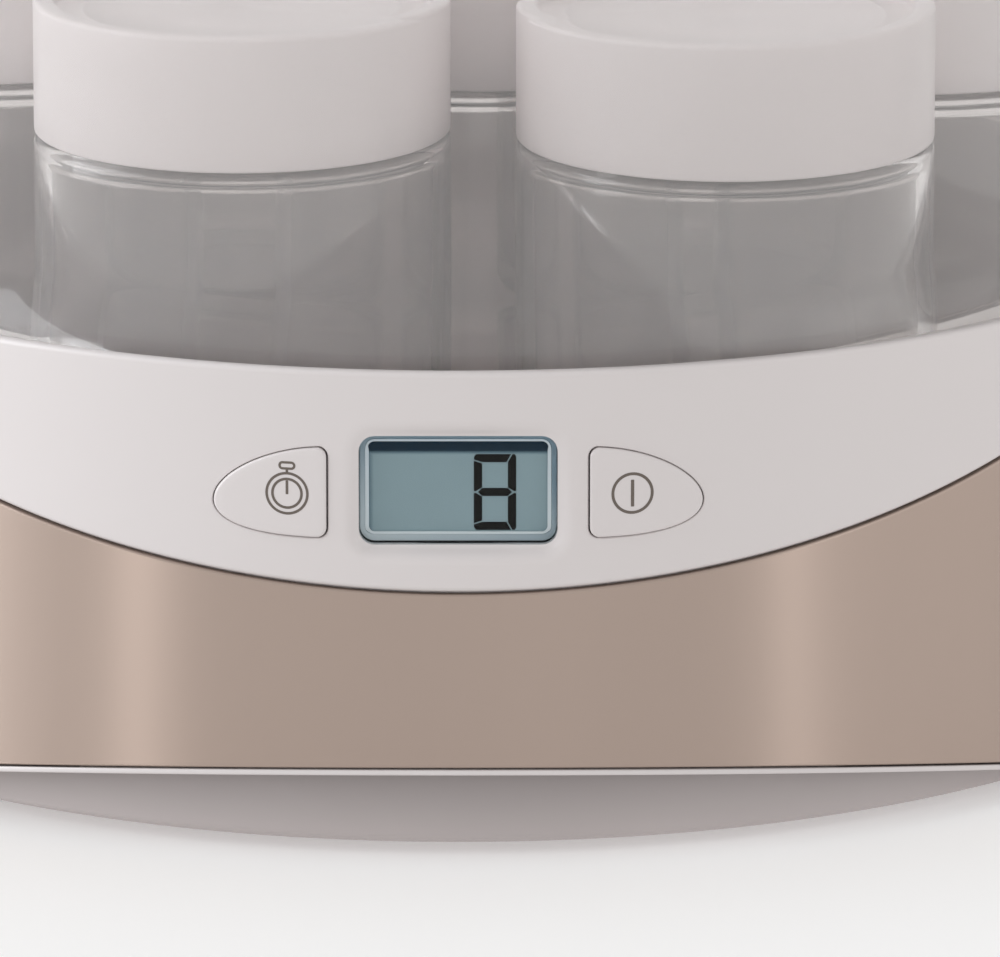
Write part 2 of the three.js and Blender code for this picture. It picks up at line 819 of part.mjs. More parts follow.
function buildTerminalBlock() {
  const [width, depth, height] = terminalSize;
  const base = panFloorTop + fitGap;
  const near = terminalY - depth / 2;
  let body = solid(block(-width / 2, width / 2, near, near + depth, base, base + height));
  for (const side of [-1, 1]) {
    body = body.subtract(solid(peg(2, 0, far, side * 6, cordHeight, 12)));
  }
  return body;
}
place("terminal_block", buildTerminalBlock(), whitePlastic);

function buildClamp() {
  const [width, depth, height] = clampSize;
  const base = panFloorTop + fitGap;
  const near = panBack - clampInset - depth / 2;
  const body = block(-width / 2, width / 2, near, near + depth, base, base + height);
  return solid(body).subtract(solid(peg(cordRadius + fitGap, 0, far, 0, cordHeight, 16)));
}
place("cord_clamp", buildClamp(), blackPlastic);

// The rubber bush that the mains lead would pass through, held by a flange on each side of the wall.
function buildBush() {
  const [near, away] = [bushInside - fitGap, bushOutside + fitGap];
  const profile = [
    [cordRadius, near - bushFlangeThickness],
    [bushFlange, near - bushFlangeThickness],
    [bushFlange, near],
    [bushNeck, near],
    [bushNeck, away],
    [bushFlange, away],
    [bushFlange, away + bushFlangeThickness],
    [cordRadius, away + bushFlangeThickness],
  ];
  return ring(profile, 16).rotateX(-Math.PI / 2).translate(0, 0, cordHeight);
}
place("cord_bush", buildBush(), rubber);

// Leads from the two ends of the element down to the power board.
[-1, 1].forEach((side, i) => {
  const turn = THREE.MathUtils.degToRad(90 + side * elementGapDegrees);
  const x = 0.7 * elementCircle * Math.cos(turn);
  const y = elementCircle * Math.sin(turn);
  const top = elementHeight - elementDrop - leadRadius - elementRadius;
  const route = [
    [x, y, top],
    [x, y - 6, top - 5],
    [x * 0.8, y * 0.5, top - 10],
    [x * 0.6, boardRearEdge + 12, overBoard + 8],
    [x * 0.6, boardRearEdge - 3, overBoard + leadRadius + fitGap],
  ];
  place(`heater_lead_${i + 1}`, swept(roundBar(leadRadius), route, 20), redSilicone);
});

function buildFoot([x, y]) {
  return post(footRadius, 0, footHeight + footRecess - fitGap, x, y, 20);
}
footPlaces.forEach((spot, i) => place(`foot_${i + 1}`, buildFoot(spot), rubber));

screwPlaces.forEach(([x, y], i) => {
  const headTop = footHeight + counterboreRise - fitGap;
  const head = post(screwHead, headTop - screwHeadThickness, headTop, x, y);
  const shank = post(screwRadius, headTop - 0.5, headTop + screwLength, x, y, 12);
  place(`base_screw_${i + 1}`, solid(head).add(solid(shank)), steel);
});

// ---------------------------------------------------------------- lid, jars and caps

// Points of a round corner from straight up to straight in, about its centre.
function corner(centre, radius, height, steps) {
  const points = [];
  for (let i = 0; i <= steps; i += 1) {
    const angle = (i / steps) * (Math.PI / 2);
    points.push([centre + radius * Math.cos(angle), height + radius * Math.sin(angle)]);
  }
  return points;
}

function buildLid() {
  const [outerEdge, innerRound] = [lidRadius - lidRound, lidRound - lidWall];
  const bend = lidTop - lidCrown - lidRound;
  const shell = turned([
    [0, lidTop - lidWall],
    ...corner(outerEdge, innerRound, bend, 2).reverse(),
    [lidRadius - lidWall, lidRest],
    [lidRadius, lidRest],
    ...corner(outerEdge, lidRound, bend, 3),
    [0, lidTop],
  ]);
  const gripOutline = roundedRectangle(gripLength, gripWidth, gripWidth / 2);
  const grip = new THREE.ExtrudeGeometry(gripOutline, {
    depth: gripHeight + lidCrown,
    bevelEnabled: false,
    curveSegments: 6,
  }).translate(0, 0, lidTop - lidCrown);
  return solid(shell).add(solid(grip));
}
place("lid", buildLid(), clearPlastic);

const jarShape = turned(
  [
    [0, 0],
    [jarRadius - shoulderRound * 0.6, 0],
    [jarRadius, shoulderRound * 0.6],
    [jarRadius, shoulderHeight - shoulderRound * 0.7],
    [jarRadius - shoulderRound * 0.7, shoulderHeight],
    [neckRadius, shoulderHeight],
    [neckRadius, jarHeight],
    [neckRadius - jarWall, jarHeight],
    [neckRadius - jarWall, shoulderHeight - shoulderRound],
    [jarRadius - jarWall, shoulderHeight - 2 * shoulderRound],
    [jarRadius - jarWall, jarBase],
    [0, jarBase],
  ],
  jarSides,
);

const capShape = turned(
  [
    [0, capPanelUnder],
    [capRadius - capWall, capPanelUnder],
    [capRadius - capWall, capFloor],
    [capRadius, capFloor],
    [capRadius, capFloor + capHeight],
    [capRadius - capRing, capFloor + capHeight],
    [capRadius - capRing - 0.6, capPanelUnder + capTop],
    [0, capPanelUnder + capTop],
  ],
  jarSides,
);

const jarPlaces = ringJars.map(([step, dx, dy]) => {
  const angle = THREE.MathUtils.degToRad(step);
  return [jarPitch * Math.cos(angle) + dx, jarPitch * Math.sin(angle) + dy];
});
jarPlaces.push(middleJarShift);

jarPlaces.forEach(([x, y], i) => {
  const stand = new THREE.Group();
  stand.position.set(x, y, jarRest);
  yogurtMaker.add(stand);
  place(`jar_${i + 1}`, jarShape.clone(), jarGlass, stand);
  place(`cap_${i + 1}`, capShape.clone(), whitePlastic, stand);
});

export default yogurtMaker;
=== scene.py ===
import json
import math

import bmesh
import bpy
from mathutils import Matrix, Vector

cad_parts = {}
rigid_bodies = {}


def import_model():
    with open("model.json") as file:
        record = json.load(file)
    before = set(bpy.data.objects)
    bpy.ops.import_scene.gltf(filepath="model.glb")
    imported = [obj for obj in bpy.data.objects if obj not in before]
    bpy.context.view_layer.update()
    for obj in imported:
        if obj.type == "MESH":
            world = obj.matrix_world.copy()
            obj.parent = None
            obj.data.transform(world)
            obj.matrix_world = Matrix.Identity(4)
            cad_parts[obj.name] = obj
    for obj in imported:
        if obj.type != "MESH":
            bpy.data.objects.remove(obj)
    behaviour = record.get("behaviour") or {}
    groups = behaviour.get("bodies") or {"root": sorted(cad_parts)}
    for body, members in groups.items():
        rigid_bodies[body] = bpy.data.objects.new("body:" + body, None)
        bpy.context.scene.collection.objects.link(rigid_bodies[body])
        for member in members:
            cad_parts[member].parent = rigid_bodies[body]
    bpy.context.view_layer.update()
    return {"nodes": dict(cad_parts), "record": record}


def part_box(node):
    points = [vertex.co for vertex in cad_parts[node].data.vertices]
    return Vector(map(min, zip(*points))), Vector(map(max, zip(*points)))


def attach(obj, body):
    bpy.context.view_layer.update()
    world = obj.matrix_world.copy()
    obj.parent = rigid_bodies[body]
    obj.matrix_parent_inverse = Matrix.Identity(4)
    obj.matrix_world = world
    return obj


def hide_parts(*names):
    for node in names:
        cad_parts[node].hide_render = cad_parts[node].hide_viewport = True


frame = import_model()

mm = 0.001  # every size below is in millimetres unless its name says otherwise


# Working steps that every piece shares

def dropSelection():
    if bpy.context.object and bpy.context.object.mode != "OBJECT":
        bpy.ops.object.mode_set(mode="OBJECT")
    bpy.ops.object.select_all(action="DESELECT")


def pick(piece):
    dropSelection()
    piece.select_set(True)
    bpy.context.view_layer.objects.active = piece


def pickVertices(piece, wanted):
    # selects the vertices that answer to a rule, and leaves the piece in edit mode
    pick(piece)
    bpy.ops.object.mode_set(mode="EDIT")
    bpy.ops.mesh.select_mode(type="VERT")
    bpy.ops.mesh.select_all(action="DESELECT")
    bpy.ops.object.mode_set(mode="OBJECT")
    for vertex in piece.data.vertices:
        vertex.select = bool(wanted(vertex))
    bpy.ops.object.mode_set(mode="EDIT")


def tidyMesh(piece, faceOut=True):
    pick(piece)
    bpy.ops.object.transform_apply(location=True, rotation=True, scale=True)
    bpy.ops.object.mode_set(mode="EDIT")
    bpy.ops.mesh.select_all(action="SELECT")
    bpy.ops.mesh.remove_doubles(threshold=0.002 * mm)
    if faceOut:
        bpy.ops.mesh.normals_make_consistent(inside=False)
    bpy.ops.object.mode_set(mode="OBJECT")
    return piece


def bend(x, z, radius, start, end, steps):
    # points of a round corner, in degrees, both ends included
    turns = [math.radians(start + (end - start) * i / steps) for i in range(steps + 1)]
    return [(x + radius * math.cos(turn), z + radius * math.sin(turn)) for turn in turns]


def drawnUp(name, profile, sides, centre=(0, 0), closed=False):
    # a circle extruded and scaled along a profile of radius and height; radius 0 ends in a pole
    dropSelection()
    x, y = (part * mm for part in centre)
    poleAtStart = profile[0][0] == 0
    points = profile[1:] if poleAtStart else list(profile)
    radius, height = points[0]
    bpy.ops.mesh.primitive_circle_add(
        vertices=sides, radius=radius * mm, location=(x, y, height * mm))
    piece = bpy.context.object
    piece.name = piece.data.name = name
    bpy.ops.object.mode_set(mode="EDIT")
    bpy.ops.mesh.select_all(action="SELECT")
    if poleAtStart:
        bpy.ops.mesh.extrude_region_move(
            TRANSFORM_OT_translate={"value": (0, 0, (profile[0][1] - height) * mm)})
        bpy.ops.mesh.merge(type="CENTER")
        bpy.ops.object.mode_set(mode="OBJECT")
        for vertex in piece.data.vertices:
            vertex.select = math.hypot(vertex.co.x, vertex.co.y) > radius * mm * 0.5
        bpy.ops.object.mode_set(mode="EDIT")
    for nextRadius, nextHeight in points[1:] + (points[:1] if closed else []):
        bpy.ops.mesh.extrude_region_move(
            TRANSFORM_OT_translate={"value": (0, 0, (nextHeight - height) * mm)})
        if nextRadius == 0:
            bpy.ops.mesh.merge(type="CENTER")
            break
        if nextRadius != radius:
            scale = nextRadius / radius
            bpy.ops.transform.resize(
                value=(scale, scale, 1), center_override=(x, y, nextHeight * mm))
        radius, height = nextRadius, nextHeight
    return tidyMesh(piece)


def remould(piece, rule):
    # moves each vertex by a rule on its radius, height and angle from the front
    for vertex in piece.data.vertices:
        x, y, z = (part / mm for part in vertex.co)
        angle = math.atan2(x, -y)
        radius, height = rule(math.hypot(x, y), z, angle)
        vertex.co = (radius * math.sin(angle) * mm, -radius * math.cos(angle) * mm, height * mm)
    piece.data.update()


def lofted(name, rings, startFill="face", endFill="face"):
    # a circle extruded ring by ring, each ring's points set in turn
    # an end is a face, a pole or open
    dropSelection()
    count = len(rings[0])
    bpy.ops.mesh.primitive_circle_add(vertices=count, radius=mm)
    piece = bpy.context.object
    piece.name = piece.data.name = name
    for vertex, point in zip(piece.data.vertices, rings[0]):
        vertex.co = Vector(point) * mm
    bpy.ops.object.mode_set(mode="EDIT")
    bpy.ops.mesh.select_mode(type="VERT")
    bpy.ops.mesh.select_all(action="SELECT")
    for last, ring in zip(rings, rings[1:]):
        bpy.ops.mesh.extrude_region_move()
        mesh = bmesh.from_edit_mesh(piece.data)
        moved = sorted((v for v in mesh.verts if v.select), key=lambda v: v.index)
        keys = {tuple(round(c, 5) for c in point): i for i, point in enumerate(last)}
        for order, vertex in enumerate(moved):
            spot = tuple(round(c / mm, 5) for c in vertex.co)
            vertex.co = Vector(ring[keys.get(spot, order)]) * mm
        bmesh.update_edit_mesh(piece.data)
    if endFill == "pole":
        bpy.ops.mesh.merge(type="CENTER")
    elif endFill == "face":
        bpy.ops.mesh.edge_face_add()
    bpy.ops.object.mode_set(mode="OBJECT")
    if startFill != "open":
        pickVertices(piece, lambda vertex: vertex.index < count)
        if startFill == "pole":
            bpy.ops.mesh.merge(type="CENTER")
        else:
            bpy.ops.mesh.edge_face_add()
        bpy.ops.object.mode_set(mode="OBJECT")
    return tidyMesh(piece)


def joined(name, pieces):
    pick(pieces[0])
    for piece in pieces:
        piece.select_set(True)
    if len(pieces) > 1:
        bpy.ops.object.join()
    piece = bpy.context.view_layer.objects.active
    piece.name = piece.data.name = name
    return piece


def combine(piece, tool, operation="DIFFERENCE"):
    pick(piece)
    modifier = piece.modifiers.new("combine", "BOOLEAN")
    modifier.object = tool
    modifier.operation = operation
    modifier.solver = "EXACT"
    bpy.ops.object.modifier_apply(modifier=modifier.name)
    bpy.data.objects.remove(tool)
    return piece


def copyOf(piece, name, shift):
    twin = piece.copy()
    twin.data = piece.data.copy()
    twin.name = twin.data.name = name
    bpy.context.scene.collection.objects.link(twin)
    for vertex in twin.data.vertices:
        vertex.co += Vector(shift) * mm
    return twin


def fit(piece, body, slotName, nodes=(), smoothDegrees=32, weighted=False):
    # the last step of a piece: smooth shading, its material, its body and what it stands for
    pick(piece)
    bpy.ops.object.shade_smooth_by_angle(angle=math.radians(smoothDegrees))
    if weighted:
        modifier = piece.modifiers.new("evenNormals", "WEIGHTED_NORMAL")
        modifier.keep_sharp = True
        modifier.weight = 80
        bpy.ops.object.modifier_apply(modifier=modifier.name)
    piece.data.materials.clear()
    piece.data.materials.append(finishes[slotName])
    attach(piece, body)
    if nodes:
        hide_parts(*nodes)
    return piece


# Materials

def newMaterial(name):
    material = bpy.data.materials.new(name)
    material.use_nodes = True
    nodes, links = material.node_tree.nodes, material.node_tree.links
    return material, nodes, links, nodes["Principled BSDF"]


def noiseOn(nodes, links, scale, detail=3.0, stretch=(1, 1, 1)):
    place = nodes.new("ShaderNodeTexCoord")
    mapping = nodes.new("ShaderNodeMapping")
    mapping.inputs["Scale"].default_value = stretch
    noise = nodes.new("ShaderNodeTexNoise")
    noise.inputs["Scale"].default_value = scale
    noise.inputs["Detail"].default_value = detail
    links.new(place.outputs["Object"], mapping.inputs["Vector"])
    links.new(mapping.outputs["Vector"], noise.inputs["Vector"])
    return noise


def rampOf(nodes, links, source, stops):
    ramp = nodes.new("ShaderNodeValToRGB")
    links.new(source, ramp.inputs["Fac"])
    while len(ramp.color_ramp.elements) < len(stops):
        ramp.color_ramp.elements.new(0.5)
    for element, (position, colour) in zip(ramp.color_ramp.elements, stops):
        element.position = position
        element.color = (*colour, 1)
    return ramp


def shade(colour, share):
    return tuple(max(0, min(1, part * share)) for part in colour)


def moulded(name, look):
    # a moulded or painted surface: faint mottle, uneven gloss and a fine grain
    material, nodes, links, shader = newMaterial(name)
    colour = look["colour"]
    mottle = noiseOn(nodes, links, look.get("mottleScale", 14), 4, look.get("stretch", (1, 1, 1)))
    vary = look.get("vary", 0.02)
    ramp = rampOf(nodes, links, mottle.outputs["Fac"],
                  [(0.3, shade(colour, 1 - vary)), (0.7, shade(colour, 1 + vary))])
    links.new(ramp.outputs["Color"], shader.inputs["Base Color"])
    wear = noiseOn(nodes, links, look.get("wearScale", 60), 5, look.get("stretch", (1, 1, 1)))
    gloss = nodes.new("ShaderNodeMapRange")
    gloss.inputs["To Min"].default_value = look["roughness"][0]
    gloss.inputs["To Max"].default_value = look["roughness"][1]
    links.new(wear.outputs["Fac"], gloss.inputs["Value"])
    links.new(gloss.outputs["Result"], shader.inputs["Roughness"])
    grain = noiseOn(nodes, links, look.get("grainScale", 2500), 2, look.get("stretch", (1, 1, 1)))
    bump = nodes.new("ShaderNodeBump")
    bump.inputs["Strength"].default_value = look.get("grain", 0.08)
    bump.inputs["Distance"].default_value = look.get("grainDepth", 0.02) * mm
    links.new(grain.outputs["Fac"], bump.inputs["Height"])
    links.new(bump.outputs["Normal"], shader.inputs["Normal"])
    for socket, value in look.get("fixed", {}).items():
        shader.inputs[socket].default_value = value
    if look.get("turned"):  # the finish runs round the body
        direction = nodes.new("ShaderNodeTangent")
        direction.direction_type = "RADIAL"
        direction.axis = "Z"
        links.new(direction.outputs["Tangent"], shader.inputs["Tangent"])
    return material


def clear(name, look):
    # clear glass or plastic: a slight tint that drifts, and a soft ripple left by the mould
    material, nodes, links, shader = newMaterial(name)
    drift = noiseOn(nodes, links, look["driftScale"], 2)
    ramp = rampOf(nodes, links, drift.outputs["Fac"],
                  [(0.25, look["colour"]), (0.75, look["colourTwo"])])
    links.new(ramp.outputs["Color"], shader.inputs["Base Color"])
    shader.inputs["Roughness"].default_value = look["roughness"]
    shader.inputs["IOR"].default_value = look["ior"]
    shader.inputs["Transmission Weight"].default_value = look["clarity"]
    ripple = noiseOn(nodes, links, look["rippleScale"], 2, look.get("stretch", (1, 1, 1)))
    bump = nodes.new("ShaderNodeBump")
    bump.inputs["Strength"].default_value = look["ripple"]
    bump.inputs["Distance"].default_value = look["rippleDepth"] * mm
    links.new(ripple.outputs["Fac"], bump.inputs["Height"])
    links.new(bump.outputs["Normal"], shader.inputs["Normal"])
    return material


def displayFaceWithPaintedShadow(name, look):
    # blue-grey display with a painted shadow, darker under the frame's upper and left edges
    material, nodes, links, shader = newMaterial(name)
    place = nodes.new("ShaderNodeTexCoord")
    parts = nodes.new("ShaderNodeSeparateXYZ")
    links.new(place.outputs["Object"], parts.inputs["Vector"])
    edges = []
    for axis, start, end, full in (("Z", look["top"] - look["topShadowFade"], look["top"], 1.0),
                                   ("X", look["left"] + look["leftShadowFade"], look["left"], 0.5)):
        fade = nodes.new("ShaderNodeMapRange")
        fade.interpolation_type = "SMOOTHSTEP"
        fade.inputs["To Max"].default_value = full
        fade.inputs["From Min"].default_value = start * mm
        fade.inputs["From Max"].default_value = end * mm
        links.new(parts.outputs[axis], fade.inputs["Value"])
        edges.append(fade)
    most = nodes.new("ShaderNodeMath")
    most.operation = "MAXIMUM"
    links.new(edges[0].outputs["Result"], most.inputs[0])
    links.new(edges[1].outputs["Result"], most.inputs[1])
    ramp = rampOf(nodes, links, most.outputs["Value"],
                  [(0.0, look["colour"]), (0.55, look["edge"]), (1.0, look["shadowColour"])])
    mottle = noiseOn(nodes, links, 60, 2)
    mix = nodes.new("ShaderNodeMix")
    mix.data_type = "RGBA"
    mix.blend_type = "MULTIPLY"
    mix.inputs["Factor"].default_value = 0.25
    tone = rampOf(nodes, links, mottle.outputs["Fac"],
                  [(0.3, (0.82, 0.84, 0.84)), (0.7, (1, 1, 1))])
    links.new(ramp.outputs["Color"], mix.inputs[6])
    links.new(tone.outputs["Color"], mix.inputs[7])
    links.new(mix.outputs[2], shader.inputs["Base Color"])
    shader.inputs["Roughness"].default_value = look["roughness"]
    shader.inputs["Specular IOR Level"].default_value = 0.05
    return material


def paintedShadeByPlane(name, look):
    # moulded plastic with painted shade, its tone following a slanting plane
    # the plane has axis weights, and a start and an end in millimetres
    material, nodes, links, shader = newMaterial(name)
    place = nodes.new("ShaderNodeTexCoord")
    plane = nodes.new("ShaderNodeVectorMath")
    plane.operation = "DOT_PRODUCT"
    plane.inputs[1].default_value = look["weights"]
    links.new(place.outputs["Object"], plane.inputs[0])
    fade = nodes.new("ShaderNodeMapRange")
    fade.inputs["From Min"].default_value = look["start"] * mm
    fade.inputs["From Max"].default_value = look["end"] * mm
    links.new(plane.outputs["Value"], fade.inputs["Value"])
    ramp = rampOf(nodes, links, fade.outputs["Result"], [(0, look["low"]), (1, look["high"])])
    mottle = noiseOn(nodes, links, 40, 3)
    mix = nodes.new("ShaderNodeMix")
    mix.data_type = "RGBA"
    mix.blend_type = "MULTIPLY"
    mix.inputs["Factor"].default_value = 0.3
    tone = rampOf(nodes, links, mottle.outputs["Fac"], [(0.3, (0.9, 0.9, 0.9)), (0.7, (1, 1, 1))])
    links.new(ramp.outputs["Color"], mix.inputs[6])
    links.new(tone.outputs["Color"], mix.inputs[7])
    links.new(mix.outputs[2], shader.inputs["Base Color"])
    shader.inputs["Roughness"].default_value = look["roughness"]
    return material


def boardFace(name, look):
    # solder mask over copper tracks
    material, nodes, links, shader = newMaterial(name)
    place = nodes.new("ShaderNodeTexCoord")
    cells = nodes.new("ShaderNodeTexVoronoi")
    cells.feature = "DISTANCE_TO_EDGE"
    cells.inputs["Scale"].default_value = look["trackScale"]
    links.new(place.outputs["Object"], cells.inputs["Vector"])
    ramp = rampOf(nodes, links, cells.outputs["Distance"],
                  [(0.02, look["track"]), (0.06, look["colour"])])
    links.new(ramp.outputs["Color"], shader.inputs["Base Color"])
    bump = nodes.new("ShaderNodeBump")
    bump.inputs["Strength"].default_value = 0.3
    bump.inputs["Distance"].default_value = 0.05 * mm
    links.new(cells.outputs["Distance"], bump.inputs["Height"])
    links.new(bump.outputs["Normal"], shader.inputs["Normal"])
    shader.inputs["Roughness"].default_value = 0.35
    return material


def ribbedCable(name, look):
    # parallel conductors under a thin sleeve, with painted shade darkening the grooves between them
    material, nodes, links, shader = newMaterial(name)
    place = nodes.new("ShaderNodeTexCoord")
    wave = nodes.new("ShaderNodeTexWave")
    wave.bands_direction = "X"
    wave.inputs["Scale"].default_value = look["ribScale"]
    links.new(place.outputs["Object"], wave.inputs["Vector"])
    ramp = rampOf(nodes, links, wave.outputs["Fac"],
                  [(0.2, shade(look["colour"], 0.7)), (0.8, look["colour"])])
    links.new(ramp.outputs["Color"], shader.inputs["Base Color"])
    bump = nodes.new("ShaderNodeBump")
    bump.inputs["Strength"].default_value = 0.5
    bump.inputs["Distance"].default_value = 0.2 * mm
    links.new(wave.outputs["Fac"], bump.inputs["Height"])
    links.new(bump.outputs["Normal"], shader.inputs["Normal"])
    shader.inputs["Roughness"].default_value = 0.5
    return material


finishes = {
    "white_plastic": moulded("glossWhitePlastic", {
        "colour": (0.648, 0.605, 0.598), "vary": 0.008, "roughness": (0.26, 0.34),
        "grain": 0.02, "fixed": {"Coat Weight": 0.15, "Coat Roughness": 0.12, "IOR": 1.48}}),
    "taupe_band": moulded("satinTaupeMetallic", {
        "colour": (0.41, 0.322, 0.275), "vary": 0.025, "mottleScale": 30, "stretch": (1, 1, 0.12),
        "roughness": (0.3, 0.36), "grain": 0.1, "grainScale": 1800, "grainDepth": 0.01,
        "turned": True,
        "fixed": {"Metallic": 0.75, "Anisotropic": 0.85, "Anisotropic Rotation": 0.25}}),
    "bowl_plastic": moulded("warmGreyPlastic", {
        "colour": (0.85, 0.772, 0.756), "vary": 0.015, "roughness": (0.42, 0.5), "grain": 0.1}),
    "lid_plastic": clear("clearLidPlastic", {
        "colour": (1.0, 0.985, 0.98), "colourTwo": (1.0, 0.99, 0.985), "roughness": 0.0,
        "ior": 1.49, "clarity": 0.945, "driftScale": 8, "rippleScale": 25, "ripple": 0.02,
        "rippleDepth": 0.02}),
    "jar_glass": clear("pressedJarGlass", {
        "colour": (0.99, 0.965, 0.955), "colourTwo": (0.995, 0.975, 0.966), "roughness": 0.0,
        "ior": 1.47, "clarity": 0.87, "driftScale": 12, "rippleScale": 42,
        "ripple": 0.16, "rippleDepth": 0.3,
        "stretch": (1, 1, 0.35)}),
    "window_plastic": clear("bevelledLensPlastic", {
        "colour": (0.9, 0.95, 0.97), "colourTwo": (0.93, 0.97, 0.98), "roughness": 0.0,
        "ior": 1.2, "clarity": 1.0, "driftScale": 30, "rippleScale": 60, "ripple": 0.02,
        "rippleDepth": 0.02}),
    # the display's two darker colours and its top and left fades are painted shadow under the frame
    "lcd": displayFaceWithPaintedShadow("greyBlueDisplayPaintedShadow", {
        "colour": (0.335, 0.437, 0.468), "edge": (0.14, 0.22, 0.26), "shadowColour": (0.012, 0.03, 0.05),
        "top": 66.3, "topShadowFade": 0.9, "left": -14.2, "leftShadowFade": 1.1, "roughness": 0.4}),
    "black_plastic": moulded("blackMouldedPlastic", {
        "colour": (0.022, 0.022, 0.025), "vary": 0.15, "roughness": (0.4, 0.55), "grain": 0.2}),
    "connector_plastic": moulded("offWhiteConnector", {
        "colour": (0.72, 0.72, 0.68), "vary": 0.02, "roughness": (0.45, 0.55), "grain": 0.1}),
    "circuit_board": boardFace("greenSolderMask", {
        "colour": (0.02, 0.13, 0.06), "track": (0.05, 0.24, 0.11), "trackScale": 180}),
    "flat_cable": ribbedCable("ribbedFlatCable", {"colour": (0.33, 0.34, 0.36), "ribScale": 260}),
    "silicone_lead": moulded("siliconeSleeve", {
        "colour": (0.34, 0.04, 0.025), "vary": 0.06, "roughness": (0.55, 0.65), "grain": 0.2}),
    "spreader_aluminium": moulded("rolledAluminium", {
        "colour": (0.76, 0.77, 0.78), "vary": 0.04, "stretch": (1, 14, 1),
        "roughness": (0.28, 0.42),
        "grain": 0.2, "grainScale": 400, "fixed": {"Metallic": 1.0}}),
    "element_steel": moulded("drawnSteelTube", {
        "colour": (0.36, 0.36, 0.37), "vary": 0.08, "stretch": (1, 1, 8), "roughness": (0.3, 0.5),
        "grain": 0.15, "grainScale": 600, "fixed": {"Metallic": 1.0}}),
    "sensor_body": moulded("blackEpoxyBead", {
        "colour": (0.03, 0.03, 0.035), "vary": 0.2, "roughness": (0.2, 0.35), "grain": 0.25,
        "grainScale": 300}),
    "screw_steel": moulded("zincPlatedSteel", {
        "colour": (0.58, 0.58, 0.6), "vary": 0.06, "roughness": (0.25, 0.4), "grain": 0.15,
        "grainScale": 900, "fixed": {"Metallic": 1.0}}),
    "rubber": moulded("darkGreyRubber", {
        "colour": (0.045, 0.045, 0.048), "vary": 0.12, "roughness": (0.62, 0.75), "grain": 0.3,
        "grainScale": 1500, "grainDepth": 0.03}),
}
iconInk = moulded("taupeIconInk", {
    "colour": (0.125, 0.1, 0.083), "vary": 0.06, "roughness": (0.4, 0.5), "grain": 0.1})
# a greyed copy of the white plastic with painted shade: darker up towards the lip, lighter towards
# the bottom
panPaintedShadePlastic = paintedShadeByPlane("greyedWhitePlasticPaintedShade", {
    "weights": (0, 0, 1), "start": 1, "end": 15, "low": (0.505, 0.455, 0.447),
    "high": (0.26, 0.232, 0.228), "roughness": 0.4})
# painted shade on the trim ring: darker towards the top and a little towards the right
trimPaintedShade = paintedShadeByPlane("paleBlueTrimPaintedShade", {
    "weights": (0.35, 0, 1), "start": 48, "end": 66, "low": (0.72, 0.8, 0.83),
    "high": (0.25, 0.36, 0.44), "roughness": 0.35})
# painted highlight line on the trim's inner edge, a little darker towards the top
paintedHighlightLine = paintedShadeByPlane("whiteDisplayLinePaintedHighlight", {
    "weights": (-0.1, 0, 1), "start": 52, "end": 68, "low": (0.9, 0.95, 0.97),
    "high": (0.8, 0.87, 0.92), "roughness": 0.3})
# a brighter copy of the white plastic for the caps: painted light
capPaintedLightPlastic = moulded("brightenedWhiteCapPlastic", {
    "colour": (0.955, 0.893, 0.886), "vary": 0.008, "roughness": (0.3, 0.38), "grain": 0.02,
    "fixed": {"IOR": 1.45}})
displayInk = moulded("darkDisplaySegment", {
    "colour": (0.007, 0.006, 0.005), "vary": 0.2, "roughness": (0.3, 0.4), "grain": 0.05,
    "fixed": {"Specular IOR Level": 0.08}})
for part in frame["record"]["subparts"]:
    node = frame["nodes"][part["node"]]
    node.data.materials.clear()
    node.data.materials.append(finishes[part["material_slot"]])
print("materials ready")


# The outside of the body, which every piece on it follows

shell = {
    "rimTop": 79.5,
    "rimRadius": 128.0,
    "rimInner": 125.4,
    "draft": 0.05,  # the radius grows by this for each millimetre down
    "wall": 3.2,
    "sides": 288,
    "fitGap": 0.3,
    "panelEdge": 44.3,  # the white panel's lower edge, in the middle of the front
    "panelSlope": 0.385,
    "ringEdge": 73.5,  # the white ring's lower edge at the sides and back
    "recess": 1.6,
    "lipEdge": 15.7,  # the band's lower edge, in the middle of the front
    "lipSlope": -0.262,
    "lipSides": 3.2,
    "controls": 60.3,  # height of the display and the keys
}


def skin(height):
    return shell["rimRadius"] + shell["draft"] * (shell["rimTop"] - height)


def frontOf(x, z, out=0.0):
    # how far forward the outside is at a place on the front
    return -math.sqrt((skin(z) + out) ** 2 - x * x)


def planeMeets(angle, edge, slope):
    # the height at which a sloping plane meets the outside, at an angle from the front
    turn = math.cos(angle)
    reach = shell["rimRadius"] + shell["draft"] * shell["rimTop"]
    return (edge + slope * (skin(edge) - turn * reach)) / (1 - slope * shell["draft"] * turn)


def softLeast(one, two, width):
    near = max(width - abs(one - two), 0) / width
    return min(one, two) - near * near * width / 4


def panelEdgeAt(angle):
    edge = planeMeets(angle, shell["panelEdge"], shell["panelSlope"])
    return softLeast(edge, shell["ringEdge"], 5)


def lipAt(angle):
    edge = planeMeets(angle, shell["lipEdge"], shell["lipSlope"])
    return -softLeast(-edge, -shell["lipSides"], 3)


def roundedRectangle(width, height, corner, steps=6, between=(0, 0)):
    # points of a rounded rectangle about its middle
    # between adds points on its level and its upright edges
    points = []
    for sx, sz, start in ((1, 1, 0), (-1, 1, 90), (-1, -1, 180), (1, -1, 270)):
        x, z = sx * (width / 2 - corner), sz * (height / 2 - corner)
        points += bend(x, z, corner, start, start + 90, steps)
        extra = between[start // 90 % 2]
        x, z = points[-1]
        for i in range(1, extra + 1):
            share = 2 * i / (extra + 1)
            if start % 180 == 0:
                points.append((x - share * x, z))
            else:
                points.append((x, z - share * z))
    return points


